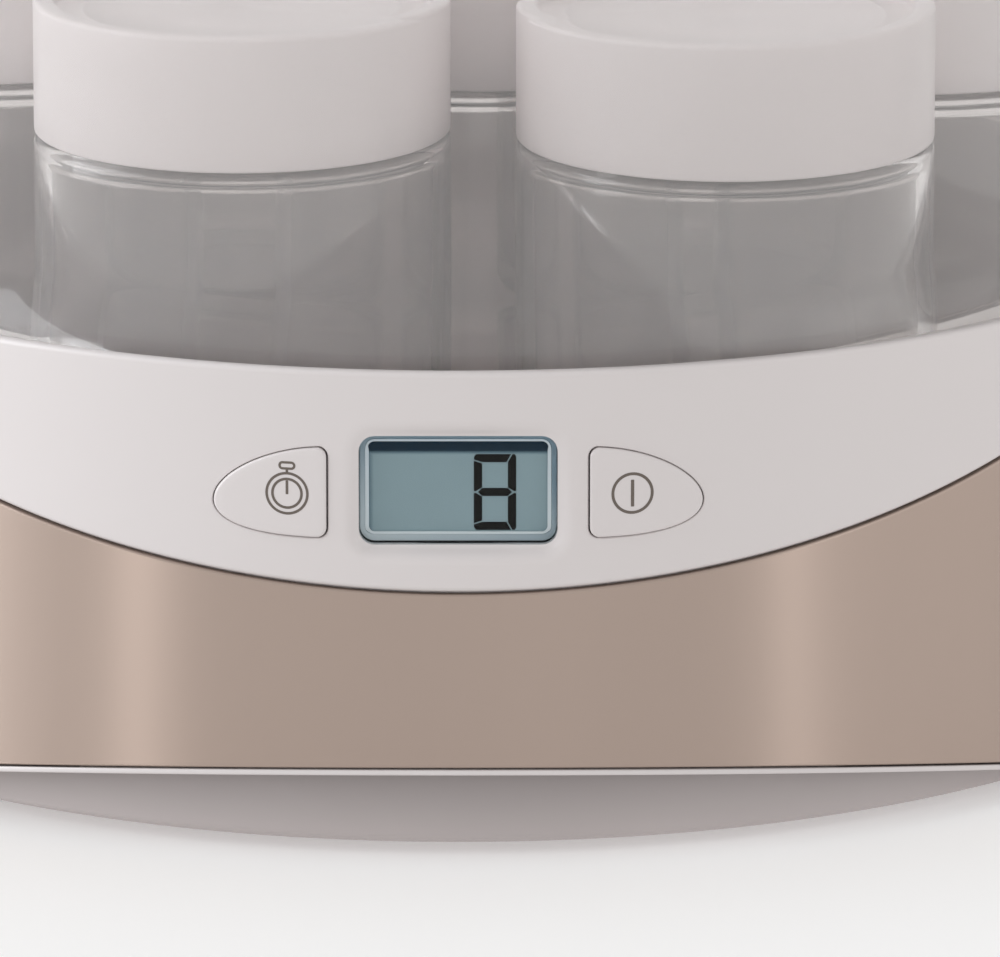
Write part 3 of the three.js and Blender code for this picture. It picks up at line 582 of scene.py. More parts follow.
keySizes = {
    "inner": 20.7,  # from the middle to the straight edge
    "length": 17.8,
    "halfHeight": 7.2,
    "corner": 1.6,
    "lower": 0.3,  # how far the key sits below the display's middle
    "droop": 2.1,  # how much further its tip hangs
    "gap": 0.12,
    "straightGap": 0.1,  # more of it along the straight edge
    "proud": 0.4,
    "edgeRound": 0.4,
    "flange": 1.2,
    "flangeFront": 3.5,
    "flangeBack": 4.3,
    "iconCentres": {-1: 6.25, 1: 6.7},
    "iconProud": 0.03,
}


def keyOutline(side, margin=0.0, extra=0.0):
    # straight towards the display, rounded away from it, its tip a little low
    inner = keySizes["inner"] - margin - extra
    length = keySizes["length"] + 2 * margin + extra
    half = keySizes["halfHeight"] + margin
    corner = keySizes["corner"]
    upper = bend(inner + corner, half - corner, corner, 180, 100, 5)
    steps = 30
    for i in range(3, steps + 1):
        share = math.sin(i / steps * math.pi / 2)
        x, z = inner + share * length, half * max(0, 1 - share ** 2) ** 0.5
        if x > inner + corner:
            upper.append((x, z))
    lower = [(x, -z) for x, z in upper[-2::-1]]
    straight = [(inner, (half - corner) * k) for k in (-0.5, 0, 0.5)]
    outline = []
    for x, z in upper + lower + straight:
        along = max(0, x - inner) / length
        outline.append((side * x, z - keySizes["lower"] - keySizes["droop"] * along ** 1.7))
    return outline


def onFront(points, out):
    # flat outline points laid on the curved front, raised by a height
    middle = shell["controls"]
    return [(x, frontOf(x, middle + z, out), middle + z) for x, z in points]


# Upper housing: rim, ledge, white front panel, with the display's funnel and the key holes

windowSizes = {"width": 31.1, "height": 17.5, "corner": 2.4, "face": -127.16, "back": -124.76,
               "between": (16, 4)}
housingSizes = {
    "rimRound": 0.9,
    "edgeRound": 0.9,
    "ledgeTop": 74.4,
    "ledgeUnder": 72.0,
    "ledgeInner": 120.2,
    "skirtEnd": 20.4,
    # the funnel round the display: how far out from the lens, and how deep from front to seat
    "funnel": [(3.6, -0.1), (3.0, 0.0), (2.5, 0.04), (2.1, 0.1), (1.7, 0.22),
               (1.3, 0.4), (1.0, 0.58), (0.7, 0.78), (0.4, 0.95), (0.08, 1.04)],
}


def grownOutline(size, grow, between):
    width, height = size["width"] + 2 * grow, size["height"] + 2 * grow
    return roundedRectangle(width, height, size["corner"] + grow, 6, between)


def windowRing(grow, share):
    size = windowSizes
    ring = []
    for x, z in grownOutline(size, grow, size["between"]):
        height = shell["controls"] + z
        front = frontOf(x, height)
        ring.append((x, front + share * (size["face"] - front), height))
    return ring


def flatRing(grow, y, size=windowSizes, between=(0, 0)):
    return [(x, y, shell["controls"] + z) for x, z in grownOutline(size, grow, between)]


def buildHousing():
    size = housingSizes
    edge, turn, top = shell["panelEdge"], size["edgeRound"], shell["rimTop"]
    startRound = edge + turn
    topRow = top - size["rimRound"]
    profile = [(shell["rimInner"], size["ledgeTop"]), (shell["rimInner"], topRow - 1.5)]
    profile += bend(shell["rimInner"] + size["rimRound"], topRow, size["rimRound"], 180, 90, 4)
    profile += bend(shell["rimRadius"] - size["rimRound"], topRow, size["rimRound"], 90, 0, 4)
    profile += [(skin(z), z) for z in (77, 73, 69, 65, 61, 57, 53, 49, 47)]
    profile += bend(skin(startRound) - turn, startRound, turn, 0, -90, 4)
    wall, recess, end = shell["wall"], shell["recess"], size["skirtEnd"]
    profile += [(skin(edge) - recess, edge), (skin(end) - recess, end), (skin(end) - wall, end),
                (skin(edge) - wall, edge), (skin(size["ledgeUnder"]) - wall, size["ledgeUnder"]),
                (size["ledgeInner"], size["ledgeUnder"]), (size["ledgeInner"], size["ledgeTop"])]
    housing = drawnUp("housing_shell", profile, shell["sides"], closed=True)

    def followPanel(radius, height, angle):
        if height > topRow - 0.01 or height < edge - 1 or radius < skin(height) - recess - 0.1:
            return radius, height
        lower = panelEdgeAt(angle)
        if height > startRound:
            moved = topRow + (height - topRow) * (lower + turn - topRow) / (startRound - topRow)
        else:
            moved = height + lower - edge
        return radius - skin(height) + skin(moved), moved

    remould(housing, followPanel)
    between = windowSizes["between"]
    rings = [flatRing(size["funnel"][0][0], -140, between=between)]
    rings += [windowRing(grow, share) for grow, share in size["funnel"]]
    rings += [flatRing(grow, y, between=between) for grow, y in
              ((0.08, -125.9), (shell["fitGap"], -125.6), (shell["fitGap"], -115))]
    tools = [lofted("windowTool", rings)]
    gap = keySizes["gap"]
    for side in (-1, 1):
        steps = [(gap + 0.5, 6), (gap + 0.5, 0.22), (gap + 0.22, 0),
                 (gap + 0.07, -0.12), (gap, -0.3), (gap, -9)]
        extra = keySizes["straightGap"]
        rings = [onFront(keyOutline(side, margin, extra), out) for margin, out in steps]
        tools.append(lofted("keyTool", rings))
    for tool in tools:
        combine(housing, tool)
    return fit(housing, "base", "white_plastic", ["upper_housing"], weighted=True)


# Satin band round the body, between the panel and the lip

bandSizes = {"wall": 1.3, "edgeRound": 0.35, "low": 16.0, "notchHalfWidth": 9, "cordHeight": 12.5}


def buildBand():
    size = bandSizes
    gap, turn = shell["fitGap"], size["edgeRound"]
    low, high = shell["lipEdge"] + gap, shell["panelEdge"] - gap
    inner = -size["wall"]
    rows = [0.0, 0.2, 0.4, 0.6, 0.8, 1.0]
    rowHeights = [low + turn + share * (high - low - 2 * turn) for share in rows]
    outside = [(skin(z), z) for z in rowHeights]
    profile = [(skin(low) + inner, low)]
    profile += bend(skin(low) - turn, low + turn, turn, -90, -5, 3) + outside
    profile += bend(skin(high) - turn, high - turn, turn, 5, 90, 3) + [(skin(high) + inner, high)]
    profile += [(skin(z) + inner, z) for z in reversed(rowHeights)]
    band = drawnUp("satin_band", profile, shell["sides"], closed=True)

    def followEdges(radius, height, angle):
        bottom, top = lipAt(angle) + gap, panelEdgeAt(angle) - gap
        if height < low + turn:
            moved = height + bottom - low
        elif height > high - turn:
            moved = height + top - high
        else:
            share = (height - low - turn) / (high - low - 2 * turn)
            moved = bottom + turn + share * (top - bottom - 2 * turn)
        return radius - skin(height) + skin(moved), moved

    remould(band, followEdges)
    half, low = size["notchHalfWidth"], -size["cordHeight"]
    arch = [(half * math.cos(turn), half * math.sin(turn))
            for turn in (math.pi * i / 24 for i in range(25))]
    arch += [(-half, low), (half, low)]
    rings = [[(x, y, size["cordHeight"] + z) for x, z in arch] for y in (110, 150)]
    combine(band, lofted("notchTool", rings))
    return fit(band, "base", "taupe_band", ["side_band"], weighted=True)


# Base pan: a plain white lip, and painted shade on the base under it

panSizes = {
    "under": 2.0,
    "footRadius": 126.59,
    "round": 2.2,
    "shoulder": 129.29,
    "shoulderHeight": 14.8,
    "top": 19.8,
    "wall": 2.2,
    "floorTop": 4.4,
    "lip": 0.9,
    "lipRound": 0.3,
    "cordHeight": 12.5,
    "bushSeat": 6.9,
    "bushBore": 4.7,
    "seatOutside": 126.19,
    "boreStart": 110,
    "boreEnd": 140,
    "screwCircle": 108,
    "screwStart": 20,
    "screwHole": 4.1,
    "screwDepth": 5.8,
    "sleeveRadius": 6,
    "sleeveTop": 9.8,
    "footCircle": 105.5,
    "footHole": 8.3,
    "footDepth": 3.3,
    "ventLength": 34,
    "ventWidth": 3,
    "ventPitch": 8,
    "vents": 7,
}


def circlePlaces(radius, start):
    turns = [math.radians(start + 90 * i) for i in range(4)]
    return [(radius * math.cos(turn), radius * math.sin(turn)) for turn in turns]


def panWallAt(height):
    size = panSizes
    low = size["under"] + size["round"]
    share = (height - low) / (size["shoulderHeight"] - low)
    return size["footRadius"] + (size["shoulder"] - size["footRadius"]) * max(0, min(1, share))


def barTool(name, radius, low, high, x, y, sides=32):
    return drawnUp(name, [(0, low), (radius, low), (radius, high), (0, high)], sides, (x, y))


def buildPan():
    size = panSizes
    under, edge = size["under"], shell["lipEdge"]
    lipLow, turn, wall = edge - size["lip"], size["lipRound"], size["wall"]
    profile = [(0, under), (40, under), (90, under)]
    heel = size["round"]
    profile += bend(size["footRadius"] - heel, under + heel, heel, -90, 0, 5)
    profile += [(panWallAt(8), 8), (panWallAt(12), 12), (size["shoulder"] - 0.01, lipLow)]
    profile += bend(skin(lipLow) - turn, lipLow + turn, turn, -90, 0, 3)
    profile += bend(skin(edge) - turn, edge - turn, turn, 0, 90, 3)
    profile += [(size["shoulder"], edge), (size["shoulder"], edge + 1),
                (size["shoulder"], size["top"]), (size["shoulder"] - wall, size["top"]),
                (size["shoulder"] - wall, 15),
                (size["footRadius"] - wall, size["floorTop"] + size["round"]),
                (size["footRadius"] - wall - size["round"], size["floorTop"]),
                (60, size["floorTop"]), (0, size["floorTop"])]
    pan = drawnUp("base_shell", profile, shell["sides"])

    def followLip(radius, height, angle):
        underside = radius < size["footRadius"] - size["round"] + 0.01
        if underside or height > edge + 0.5 and radius < 127.2:  # the floor, and the wall's inside
            return radius, height
        lip = lipAt(angle)
        lowest = lip - size["lip"]
        if height > edge + 0.5:
            return radius, max(height, lip + 0.4) if height < size["top"] else height
        if height > lipLow - 0.01:
            moved = height + lip - edge
            if radius > size["shoulder"] + 0.1:
                return radius - skin(height) + skin(moved), moved
            if radius > size["shoulder"] - 0.1:
                return panWallAt(moved), moved
            return radius, height
        if radius < panWallAt(height) - 0.9 and height > size["floorTop"]:
            return radius, height
        share = (lowest - under) / (lipLow - under)
        moved = under + (height - under) * share
        return (panWallAt(moved) if height > under + size["round"] else radius), moved

    remould(pan, followLip)
    tools = [barTool("hole", size["footHole"], -5, size["footDepth"], x, y)
             for x, y in circlePlaces(size["footCircle"], 45)]
    tools += [barTool("hole", size["screwHole"], -5, size["screwDepth"], x, y)
              for x, y in circlePlaces(size["screwCircle"], size["screwStart"])]
    for i in range(size["vents"]):
        y = (i - (size["vents"] - 1) / 2) * size["ventPitch"] + size["ventLength"]
        y += size["ventWidth"] / 2
        slot = roundedRectangle(size["ventLength"], size["ventWidth"], size["ventWidth"] / 2 - 0.01)
        tools.append(lofted("vent", [[(px, y + pz, z) for px, pz in slot] for z in (-5, 9)]))
    sleeves = [barTool("sleeve", size["sleeveRadius"], 3, size["sleeveTop"], x, y)
               for x, y in circlePlaces(size["screwCircle"], size["screwStart"])]
    for sleeve in sleeves:
        combine(pan, sleeve, "UNION")
    start, seat, end = size["boreStart"], size["seatOutside"], size["boreEnd"]
    bore = drawnUp("bore", [(0, start), (size["bushBore"], start), (size["bushBore"], seat),
                            (size["bushSeat"], seat), (size["bushSeat"], end), (0, end)], 48)
    tools.append(laidBack(bore, size["cordHeight"]))
    for tool in tools:
        combine(pan, tool)
    fit(pan, "base", "white_plastic", ["base_pan"], weighted=True)
    pan.data.materials[0] = panPaintedShadePlastic
    pan.data.materials.append(finishes["white_plastic"])
    for face in pan.data.polygons:  # the lip keeps the plain white plastic, the base under it the painted shade
        radius = math.hypot(face.center.x, face.center.y) / mm
        if radius > size["shoulder"] + 0.5:
            face.material_index = 1


def laidBack(piece, height):
    # turns a piece drawn up along Z so that it runs along Y, at a height
    pick(piece)
    piece.rotation_euler = (-math.pi / 2, 0, 0)
    piece.location = (0, 0, height * mm)
    bpy.ops.object.transform_apply(location=True, rotation=True, scale=True)
    return piece


# Cord bush, feet

bushSizes = {"bore": 3.2, "neck": 4.4, "flange": 6.6, "inside": 123.69, "outside": 126.49,
             "flangeThickness": 1.6, "round": 0.5}


def buildBush():
    size = bushSizes
    turn = size["round"]
    inner, outer = size["inside"], size["outside"]
    thick = size["flangeThickness"]
    profile = [(size["bore"] + turn, inner - thick)]
    profile += bend(size["flange"] - turn, inner - thick + turn, turn, -90, 0, 3)
    profile += [(size["flange"], inner), (size["neck"], inner), (size["neck"], outer),
                (size["flange"], outer)]
    profile += bend(size["flange"] - turn, outer + thick - turn, turn, 0, 90, 3)
    profile += [(5.2, outer + thick), (5.0, outer + thick - 0.3), (4.5, outer + thick - 0.3),
                (4.3, outer + thick)]
    profile += bend(size["bore"] + turn, outer + thick - turn, turn, 90, 180, 3)
    profile += [(size["bore"], inner - thick + turn)]
    bush = laidBack(drawnUp("cord_gland", profile, 64, closed=True), panSizes["cordHeight"])
    return fit(bush, "base", "rubber", ["cord_bush"])


footSizes = {"radius": 8.0, "top": 3.0, "round": 0.6, "dimple": 4.6, "dimpleDepth": 0.5}


def buildFeet():
    size = footSizes
    turn = size["round"]
    profile = [(0, size["dimpleDepth"]), (size["dimple"] - 0.6, size["dimpleDepth"])]
    profile += bend(size["dimple"], 0.3, 0.3, 180, 270, 2)
    profile += bend(size["radius"] - turn, turn, turn, -90, 0, 3)
    profile += [(size["radius"], 1.6), (size["radius"] - 0.25, 1.8),
                (size["radius"] - 0.25, size["top"]), (0, size["top"])]
    first = drawnUp("pad_foot_1", profile, 56)
    places = circlePlaces(panSizes["footCircle"], 45)
    feet = [first] + [copyOf(first, f"pad_foot_{i}", (*places[i - 1], 0)) for i in (2, 3, 4)]
    for vertex in first.data.vertices:
        vertex.co += Vector((*places[0], 0)) * mm
    for i, foot in enumerate(feet, 1):
        fit(foot, "base", "rubber", [f"foot_{i}"])


# Bowl that the jars stand in

bowlSizes = {
    "radius": 117.5,
    "wall": 1.6,
    "floor": 46.0,
    "top": 76.3,
    "round": 6,
    "flange": 124.8,
    "flat": -111.5,  # the flat inside face at the front
    "edgeRound": 0.7,
}


def buildBowl():
    size = bowlSizes
    outer, under, top = size["radius"] + size["wall"], size["floor"] - size["wall"], size["top"]
    turn = size["round"]
    profile = [(0, under), (60, under)]
    corner = turn + size["wall"]
    profile += bend(outer - turn - size["wall"], under + turn + size["wall"], corner, -90, 0, 6)
    profile += [(outer, 64), (outer, top - size["wall"]), (size["flange"], top - size["wall"])]
    profile += bend(size["flange"] - 0.5, top - 0.5, 0.5, 0, 90, 3)
    edge = size["edgeRound"]
    profile += bend(size["radius"] + edge, top - edge, edge, 90, 180, 4)
    profile += [(size["radius"], 68), (size["radius"], 60)]
    profile += bend(size["radius"] - turn, size["floor"] + turn, turn, 0, -90, 6)
    profile += [(88, size["floor"]), (60, size["floor"]), (30, size["floor"]), (0, size["floor"])]
    bowl = drawnUp("heated_bowl", profile, 240)
    for vertex in bowl.data.vertices:
        radius = math.hypot(vertex.co.x, vertex.co.y) / mm
        height = vertex.co.z / mm
        inside = radius < size["radius"] + edge + 0.05 and height > size["floor"] - 0.05
        if inside:
            vertex.co.y = max(vertex.co.y, size["flat"] * mm)
        elif height < top - size["wall"] - 0.01 or radius < outer + 0.05:
            vertex.co.y = max(vertex.co.y, (size["flat"] - size["wall"]) * mm)
    return fit(bowl, "base", "bowl_plastic", ["bowl"])


# Display: bevelled lens, the display's face, its frame, a trim ring with painted shade and a
# painted highlight line, and one seven-part digit

displaySizes = {
    "chamfer": 1.3,
    "chamferDepth": 0.75,
    "faceWidth": 30.3,
    "faceHeight": 16.7,
    "faceFront": -124.3,
    "faceBack": -121.5,
    "digitLeft": 2.45,
    "digitLow": 53.3,
    "digitWidth": 6.65,
    "digitHeight": 12.3,
    "bar": 1.3,
    "barGap": 0.22,
    "barThickness": 0.08,
    "trimWidth": 1.55,  # ring round the display where the lens's bevel is, with painted shade and a painted highlight line
    "highlightLineWidth": 0.38,
    "trimFront": -124.66,
    "trimBack": -124.33,
}


def buildWindow():
    size = displaySizes
    face, back = windowSizes["face"], windowSizes["back"]
    inset, deep = size["chamfer"], size["chamferDepth"]
    rings = [flatRing(1.4, back + 1), flatRing(1.4, back + 0.05), flatRing(0, back + 0.05)]
    rings += [flatRing(0, face + deep + 0.2), flatRing(-0.06, face + deep + 0.06),
              flatRing(-0.2, face + deep)]
    rings += [flatRing(-inset + 0.25, face + 0.16), flatRing(-inset + 0.1, face + 0.07),
              flatRing(-inset - 0.08, face + 0.015), flatRing(-inset - 0.3, face)]
    lens = lofted("display_lens", rings)
    return fit(lens, "base", "window_plastic", ["display_window"], smoothDegrees=25)


def buildDisplay():
    size = displaySizes
    panel = {"width": size["faceWidth"], "height": size["faceHeight"], "corner": 1.2}
    front, back = size["faceFront"], size["faceBack"]
    rings = [flatRing(0, back, panel), flatRing(0, front + 0.15, panel),
             flatRing(-0.15, front, panel)]
    face = lofted("display_face", rings)
    fit(face, "base", "lcd", ["lcd_module"])
    holderBack = -117.8
    rings = [flatRing(grow, y, panel) for grow, y in
             ((0.2, front + 0.5), (2.2, front + 0.5), (2.2, holderBack), (0.2, holderBack),
              (0.2, front + 0.5))]
    holder = lofted("display_holder", rings, "open", "open")
    fit(holder, "base", "black_plastic", ["display_frame"])
    # the trim ring paints the look of the lens's bevel: painted shade, and a painted highlight line
    # on its front
    near, far, edge = size["trimFront"], size["trimBack"], size["trimWidth"]
    line = size["highlightLineWidth"]
    rings = [flatRing(-0.25, far), flatRing(-0.25, near + 0.12), flatRing(-0.6, near + 0.1),
             flatRing(line - edge + 0.1, near + 0.1), flatRing(line - edge, near),
             flatRing(-edge + 0.04, near), flatRing(-edge, near + 0.05), flatRing(-edge, far),
             flatRing(-0.25, far)]
    trim = lofted("display_trim", rings, "open", "open")
    fit(trim, "base", "lcd")
    trim.data.materials[0] = trimPaintedShade
    trim.data.materials.append(paintedHighlightLine)
    # the inner band of the front face takes the painted highlight line
    for face in trim.data.polygons:
        if face.center.y < (near + 0.03) * mm:
            face.material_index = 1


def digitOutlines():
    # the bars of the digit
    # its left corners belong to the level bars, its right ones to the uprights
    size = displaySizes
    wide, tall, bar, gap = size["digitWidth"], size["digitHeight"], size["bar"], size["barGap"]
    middle, cut = tall / 2, bar * 0.3
    waist = middle + bar / 2 + gap / 2
    upper = [
        [(0, tall - bar * 0.66), (0.05, tall - cut), (cut, tall), (wide - bar * 0.62, tall),
         (wide - bar - gap, tall - bar), (bar, tall - bar)],
        [(0, tall - bar * 0.66 - gap), (0, middle + 0.25), (0.25, middle + gap / 2), (bar, waist),
         (bar, tall - bar - gap)],
        [(wide - bar * 0.62 + gap, tall), (wide - bar, tall - bar), (wide - bar, waist),
         (wide - 0.25, middle + gap / 2), (wide, middle + 0.25), (wide, tall - cut),
         (wide - cut * 0.6, tall)],
    ]
    lower = [[(x, tall - z) for x, z in outline] for outline in upper]
    point, start = bar * 0.5, bar
    across = [(point, middle), (start, middle - bar / 2), (wide - start, middle - bar / 2),
              (wide - point, middle), (wide - start, middle + bar / 2), (start, middle + bar / 2)]
    return upper + lower + [across]


def buildDigit():
    size = displaySizes
    x0, z0, front = size["digitLeft"], size["digitLow"], size["faceFront"]
    bars = []
    for outline in digitOutlines():
        rings = [[(x0 + x, y, z0 + z) for x, z in outline]
                 for y in (front - 0.01, front - size["barThickness"])]
        bars.append(lofted("digitBar", rings))
    digit = joined("display_digit", bars)
    fit(digit, "base", "lcd")
    digit.data.materials[0] = displayInk


# Keys and their icons

def buildKey(name, side):
    size = keySizes
    proud, turn = size["proud"], size["edgeRound"]
    steps = [(size["flange"], -size["flangeBack"]), (size["flange"], -size["flangeFront"]),
             (0, -size["flangeFront"]), (0, proud - turn), (-turn * 0.08, proud - turn * 0.6),
             (-turn * 0.3, proud - turn * 0.28), (-turn * 0.62, proud - turn * 0.07),
             (-turn, proud)]
    rings = [onFront(keyOutline(side, margin), out) for margin, out in steps]
    outline = keyOutline(side, -turn)
    middle = side * (size["inner"] + size["length"] * 0.42)
    low = -size["lower"] - size["droop"] * 0.25
    for share in (0.86, 0.7, 0.54, 0.38, 0.22, 0.08):
        scaled = [(middle + share * (x - middle), low + share * (z - low)) for x, z in outline]
        rings.append(onFront(scaled, proud))
    key = lofted(f"{name}_key", rings, "face", "pole")
    return fit(key, f"{name}_button", "white_plastic", [f"{name}_button"], smoothDegrees=40)


def inlay(outer, inner, side):
    # a thin printed line between two outlines, laid on a key
    proud, rise = keySizes["proud"], keySizes["iconProud"]
    x0 = side * (keySizes["inner"] + keySizes["iconCentres"][side])
    rings = []
    for points, out in ((inner, proud - 0.02), (inner, proud + rise), (outer, proud + rise),
                        (outer, proud - 0.02), (inner, proud - 0.02)):
        rings.append(onFront([(x0 + x, z) for x, z in points], out))
    return lofted("inlay", rings, "open", "open")


def stroke(points, side):
    proud, rise = keySizes["proud"], keySizes["iconProud"]
    x0 = side * (keySizes["inner"] + keySizes["iconCentres"][side])
    rings = [onFront([(x0 + x, z) for x, z in points], out) for out in (proud - 0.02, proud + rise)]
    return lofted("stroke", rings)


def circleLine(radius, thickness, x, z, side, sides=64):
    outline = [bend(x, z, r, 0, 360 - 360 / sides, sides - 1) for r in (radius, radius - thickness)]
    return inlay(outline[0], outline[1], side)


def moveOutline(points, x, z):
    return [(px + x, pz + z) for px, pz in points]


iconSizes = {
    "watchRing": 3.42, "watchLine": 0.41, "watchInner": 2.5, "hand": 2.2, "handWidth": 0.42,
    "crownWidth": 2.7, "crownHeight": 1.35, "crownLine": 0.38, "crownRise": 4.45,
    "powerRing": 3.33, "powerLine": 0.46, "powerBar": 4.3, "powerBarWidth": 0.52, "drop": -0.6,
}


def buildIcons():
    size = iconSizes
    z = size["drop"]
    watch = [circleLine(size["watchRing"], size["watchLine"], 0.05, z, -1),
             circleLine(size["watchInner"], size["watchLine"], 0.05, z, -1)]
    hand = roundedRectangle(size["handWidth"], size["hand"], 0.08, 2)
    watch.append(stroke(moveOutline(hand, 0.05, z + size["hand"] / 2 - 0.15), -1))
    wide, tall, line = size["crownWidth"], size["crownHeight"], size["crownLine"]
    outer = moveOutline(roundedRectangle(wide, tall, tall / 2 - 0.01), 0.05, z + size["crownRise"])
    inner = moveOutline(roundedRectangle(wide - 2 * line, tall - 2 * line, tall / 2 - line - 0.01),
                        0.05, z + size["crownRise"])
    watch.append(inlay(outer, inner, -1))
    stem = roundedRectangle(size["handWidth"], 0.6, 0.08, 2)
    watch.append(stroke(moveOutline(stem, 0.05, z + size["watchRing"] + 0.22), -1))
    power = [circleLine(size["powerRing"], size["powerLine"], 0, z, 1)]
    bar = roundedRectangle(size["powerBarWidth"], size["powerBar"], 0.1, 2)
    power.append(stroke(moveOutline(bar, 0, z), 1))
    for name, parts in (("timer", watch), ("power", power)):
        icon = joined(f"{name}_icon", parts)
        fit(icon, f"{name}_button", "white_plastic")
        icon.data.materials[0] = iconInk


# Clear lid with its grip

lidSizes = {
    "radius": 124.6,
    "wall": 2.2,
    "rest": 76.6,
    "top": 145.9,
    "crown": 1.8,
    "round": 9,
    "gripLength": 72,
    "gripWidth": 18,
    "gripTop": 151.4,
    "gripRound": 2.6,
}


def buildLid():
    size = lidSizes
    radius, wall, turn, top = size["radius"], size["wall"], size["round"], size["top"]
    bendAt = top - size["crown"] - turn
    edge = radius - turn

    def crownPoints(height, reach):
        spots = [reach * k for k in (0.84, 0.68, 0.52, 0.36, 0.2)]
        return [(r, height - size["crown"] * (r / reach) ** 2) for r in spots]

    profile = [(radius, size["rest"] + 0.6)]
    profile += [(radius, z) for z in (90, 105, 120)]
    profile += bend(edge, bendAt, turn, 0, 90, 10)
    profile += crownPoints(top, edge) + [(0, top)]
    outside = drawnUp("clear_lid", profile, 192)
    inner = [(0, top - wall)] + crownPoints(top - wall, edge)[::-1]
    inner += bend(edge, bendAt, turn - wall, 90, 0, 8)
    inner += [(radius - wall, z) for z in (120, 105, 90)] + [(radius - wall, size["rest"] + 0.6)]
    inner += [(radius - wall + 0.25, size["rest"] + 0.15), (radius - wall + 0.6, size["rest"]),
              (radius - 0.6, size["rest"]), (radius - 0.25, size["rest"] + 0.15),
              (radius, size["rest"] + 0.6)]
    inside = drawnUp("lidInside", inner, 192)
    lid = tidyMesh(joined("clear_lid", [outside, inside]))
    turn = size["gripRound"]
    levels = [(0, top - 1.4), (0, top + 1)] + bend(-turn, size["gripTop"] - turn, turn, 0, 90, 6)
    rings = []
    for grow, z in levels:
        wide, deep = size["gripLength"] + 2 * grow, size["gripWidth"] + 2 * grow
        rings.append([(x, y, z) for x, y in roundedRectangle(wide, deep, deep / 2 - 0.02, 12)])
    combine(lid, lofted("grip", rings), "UNION")
    return fit(lid, "lid", "lid_plastic", ["lid"], smoothDegrees=30)


# Jars and caps, each modelled once on the origin and then copied to its place

jarSizes = {
    "radius": 33.6,
    "height": 75.6,
    "shoulder": 57.5,
    "shoulderRound": 1.9,
    "neck": 29.8,
    "wall": 3.0,
    "base": 5.0,
    "heel": 2.6,
    "sides": 96,
    "threadRise": 0.85,
    "threadPitch": 5.2,
    "threadLow": 60.2,
    "threadHigh": 72.4,
}
capSizes = {
    "radius": 33.5,
    "low": 57.9,
    "top": 79.9,
    "wall": 1.8,
    "under": 75.9,
    "panel": 77.7,
    "ring": 3.4,
    "edgeRound": 0.9,
    "threadRise": 0.75,
}


def threadBump(height, angle, offset):
    # how far a screw thread stands out at a height and an angle, from 0 to 1
    size = jarSizes
    turns = (height - size["threadLow"]) / size["threadPitch"] - angle / (2 * math.pi) + offset
    wave = 0.5 + 0.5 * math.cos(2 * math.pi * turns)
    near = min(height - size["threadLow"], size["threadHigh"] - height)
    return max(0, min(1, near / 1.6)) * max(0, (wave - 0.45) / 0.55)


def buildJars():
    size = jarSizes
    radius, neck, wall = size["radius"], size["neck"], size["wall"]
    turn, shoulder, height = size["shoulderRound"], size["shoulder"], size["height"]
    profile = [(0, 1.6), (14, 1.5), (24, 0.9), (27.4, 0.25), (28.6, 0.0)]
    profile += bend(radius - size["heel"], size["heel"], size["heel"], -80, 0, 5)
    profile += [(radius, z) for z in (10, 22, 34, 46)]
    profile += bend(radius - turn, shoulder - turn, turn, 0, 84, 8)
    profile += bend(neck + 0.5, shoulder + 0.55, 0.5, 262, 180, 3)
    rows = 26
    profile += [(neck, shoulder + 1.4 + (height - 1.4 - shoulder - 1.4) * i / rows)
                for i in range(rows + 1)]
    profile += bend(neck - 0.9, height - 0.9, 0.9, 0, 90, 3)
    profile += bend(neck - wall + 0.9, height - 0.9, 0.9, 90, 180, 3)
    inner = radius - wall
    profile += [(neck - wall, 68), (neck - wall, 61)]
    profile += bend(neck - wall + 4, 58.5, 4, 180, 205, 2)
    profile += bend(inner - 3, 53.3, 3, 60, 0, 5)
    profile += [(inner, 44), (inner, 32), (inner, 20)]
    profile += bend(inner - 4, size["base"] + 4, 4, 0, -84, 6)
    profile += [(22, size["base"] - 0.1), (12, size["base"] + 0.25), (0, size["base"] + 0.4)]
    model = drawnUp("jarModel", profile, size["sides"])

    def cutThread(r, z, angle):
        if abs(r - neck) < 0.05 and size["threadLow"] < z < size["threadHigh"]:
            return r + size["threadRise"] * threadBump(z, angle, 0), z
        return r, z

    remould(model, cutThread)
    return model


def buildCap():
    size = capSizes
    radius, low, top, turn = size["radius"], size["low"], size["top"], size["edgeRound"]
    inner = radius - size["wall"]
    ring = radius - size["ring"]
    under = size["under"]
    profile = [(0, under), (20, under), (27.6, under), (27.8, under - 0.6),
               (28.8, under - 0.6), (29.0, under), (inner, under)]
    rows = 24
    profile += [(inner, under - 0.8 - (under - 1.6 - low) * i / rows) for i in range(rows + 1)]
    profile += bend(inner + 0.4, low + 0.4, 0.4, 180, 270, 2)
    profile += bend(radius - 0.4, low + 0.4, 0.4, -90, 0, 3)
    profile += [(radius, z) for z in (62, 68, 74)]
    profile += bend(radius - turn, top - turn, turn, 0, 90, 5)
    profile += bend(ring + 0.7, top - 0.7, 0.7, 90, 175, 4)
    profile += bend(ring - 0.9, size["panel"] + 0.8, 0.8, 0, -90, 4)
    profile += [(26.2, size["panel"]), (25.9, size["panel"] + 0.22), (25.3, size["panel"] + 0.22),
                (25.0, size["panel"]), (14, size["panel"] + 0.03), (2.2, size["panel"] + 0.05),
                (1.7, size["panel"] - 0.12), (0, size["panel"] - 0.15)]
    model = drawnUp("capModel", profile, jarSizes["sides"])

    def cutThread(r, z, angle):
        if abs(r - inner) < 0.05 and jarSizes["threadLow"] < z < jarSizes["threadHigh"]:
            return r - size["threadRise"] * threadBump(z, angle, 0.5), z
        return r, z

    remould(model, cutThread)
    return model


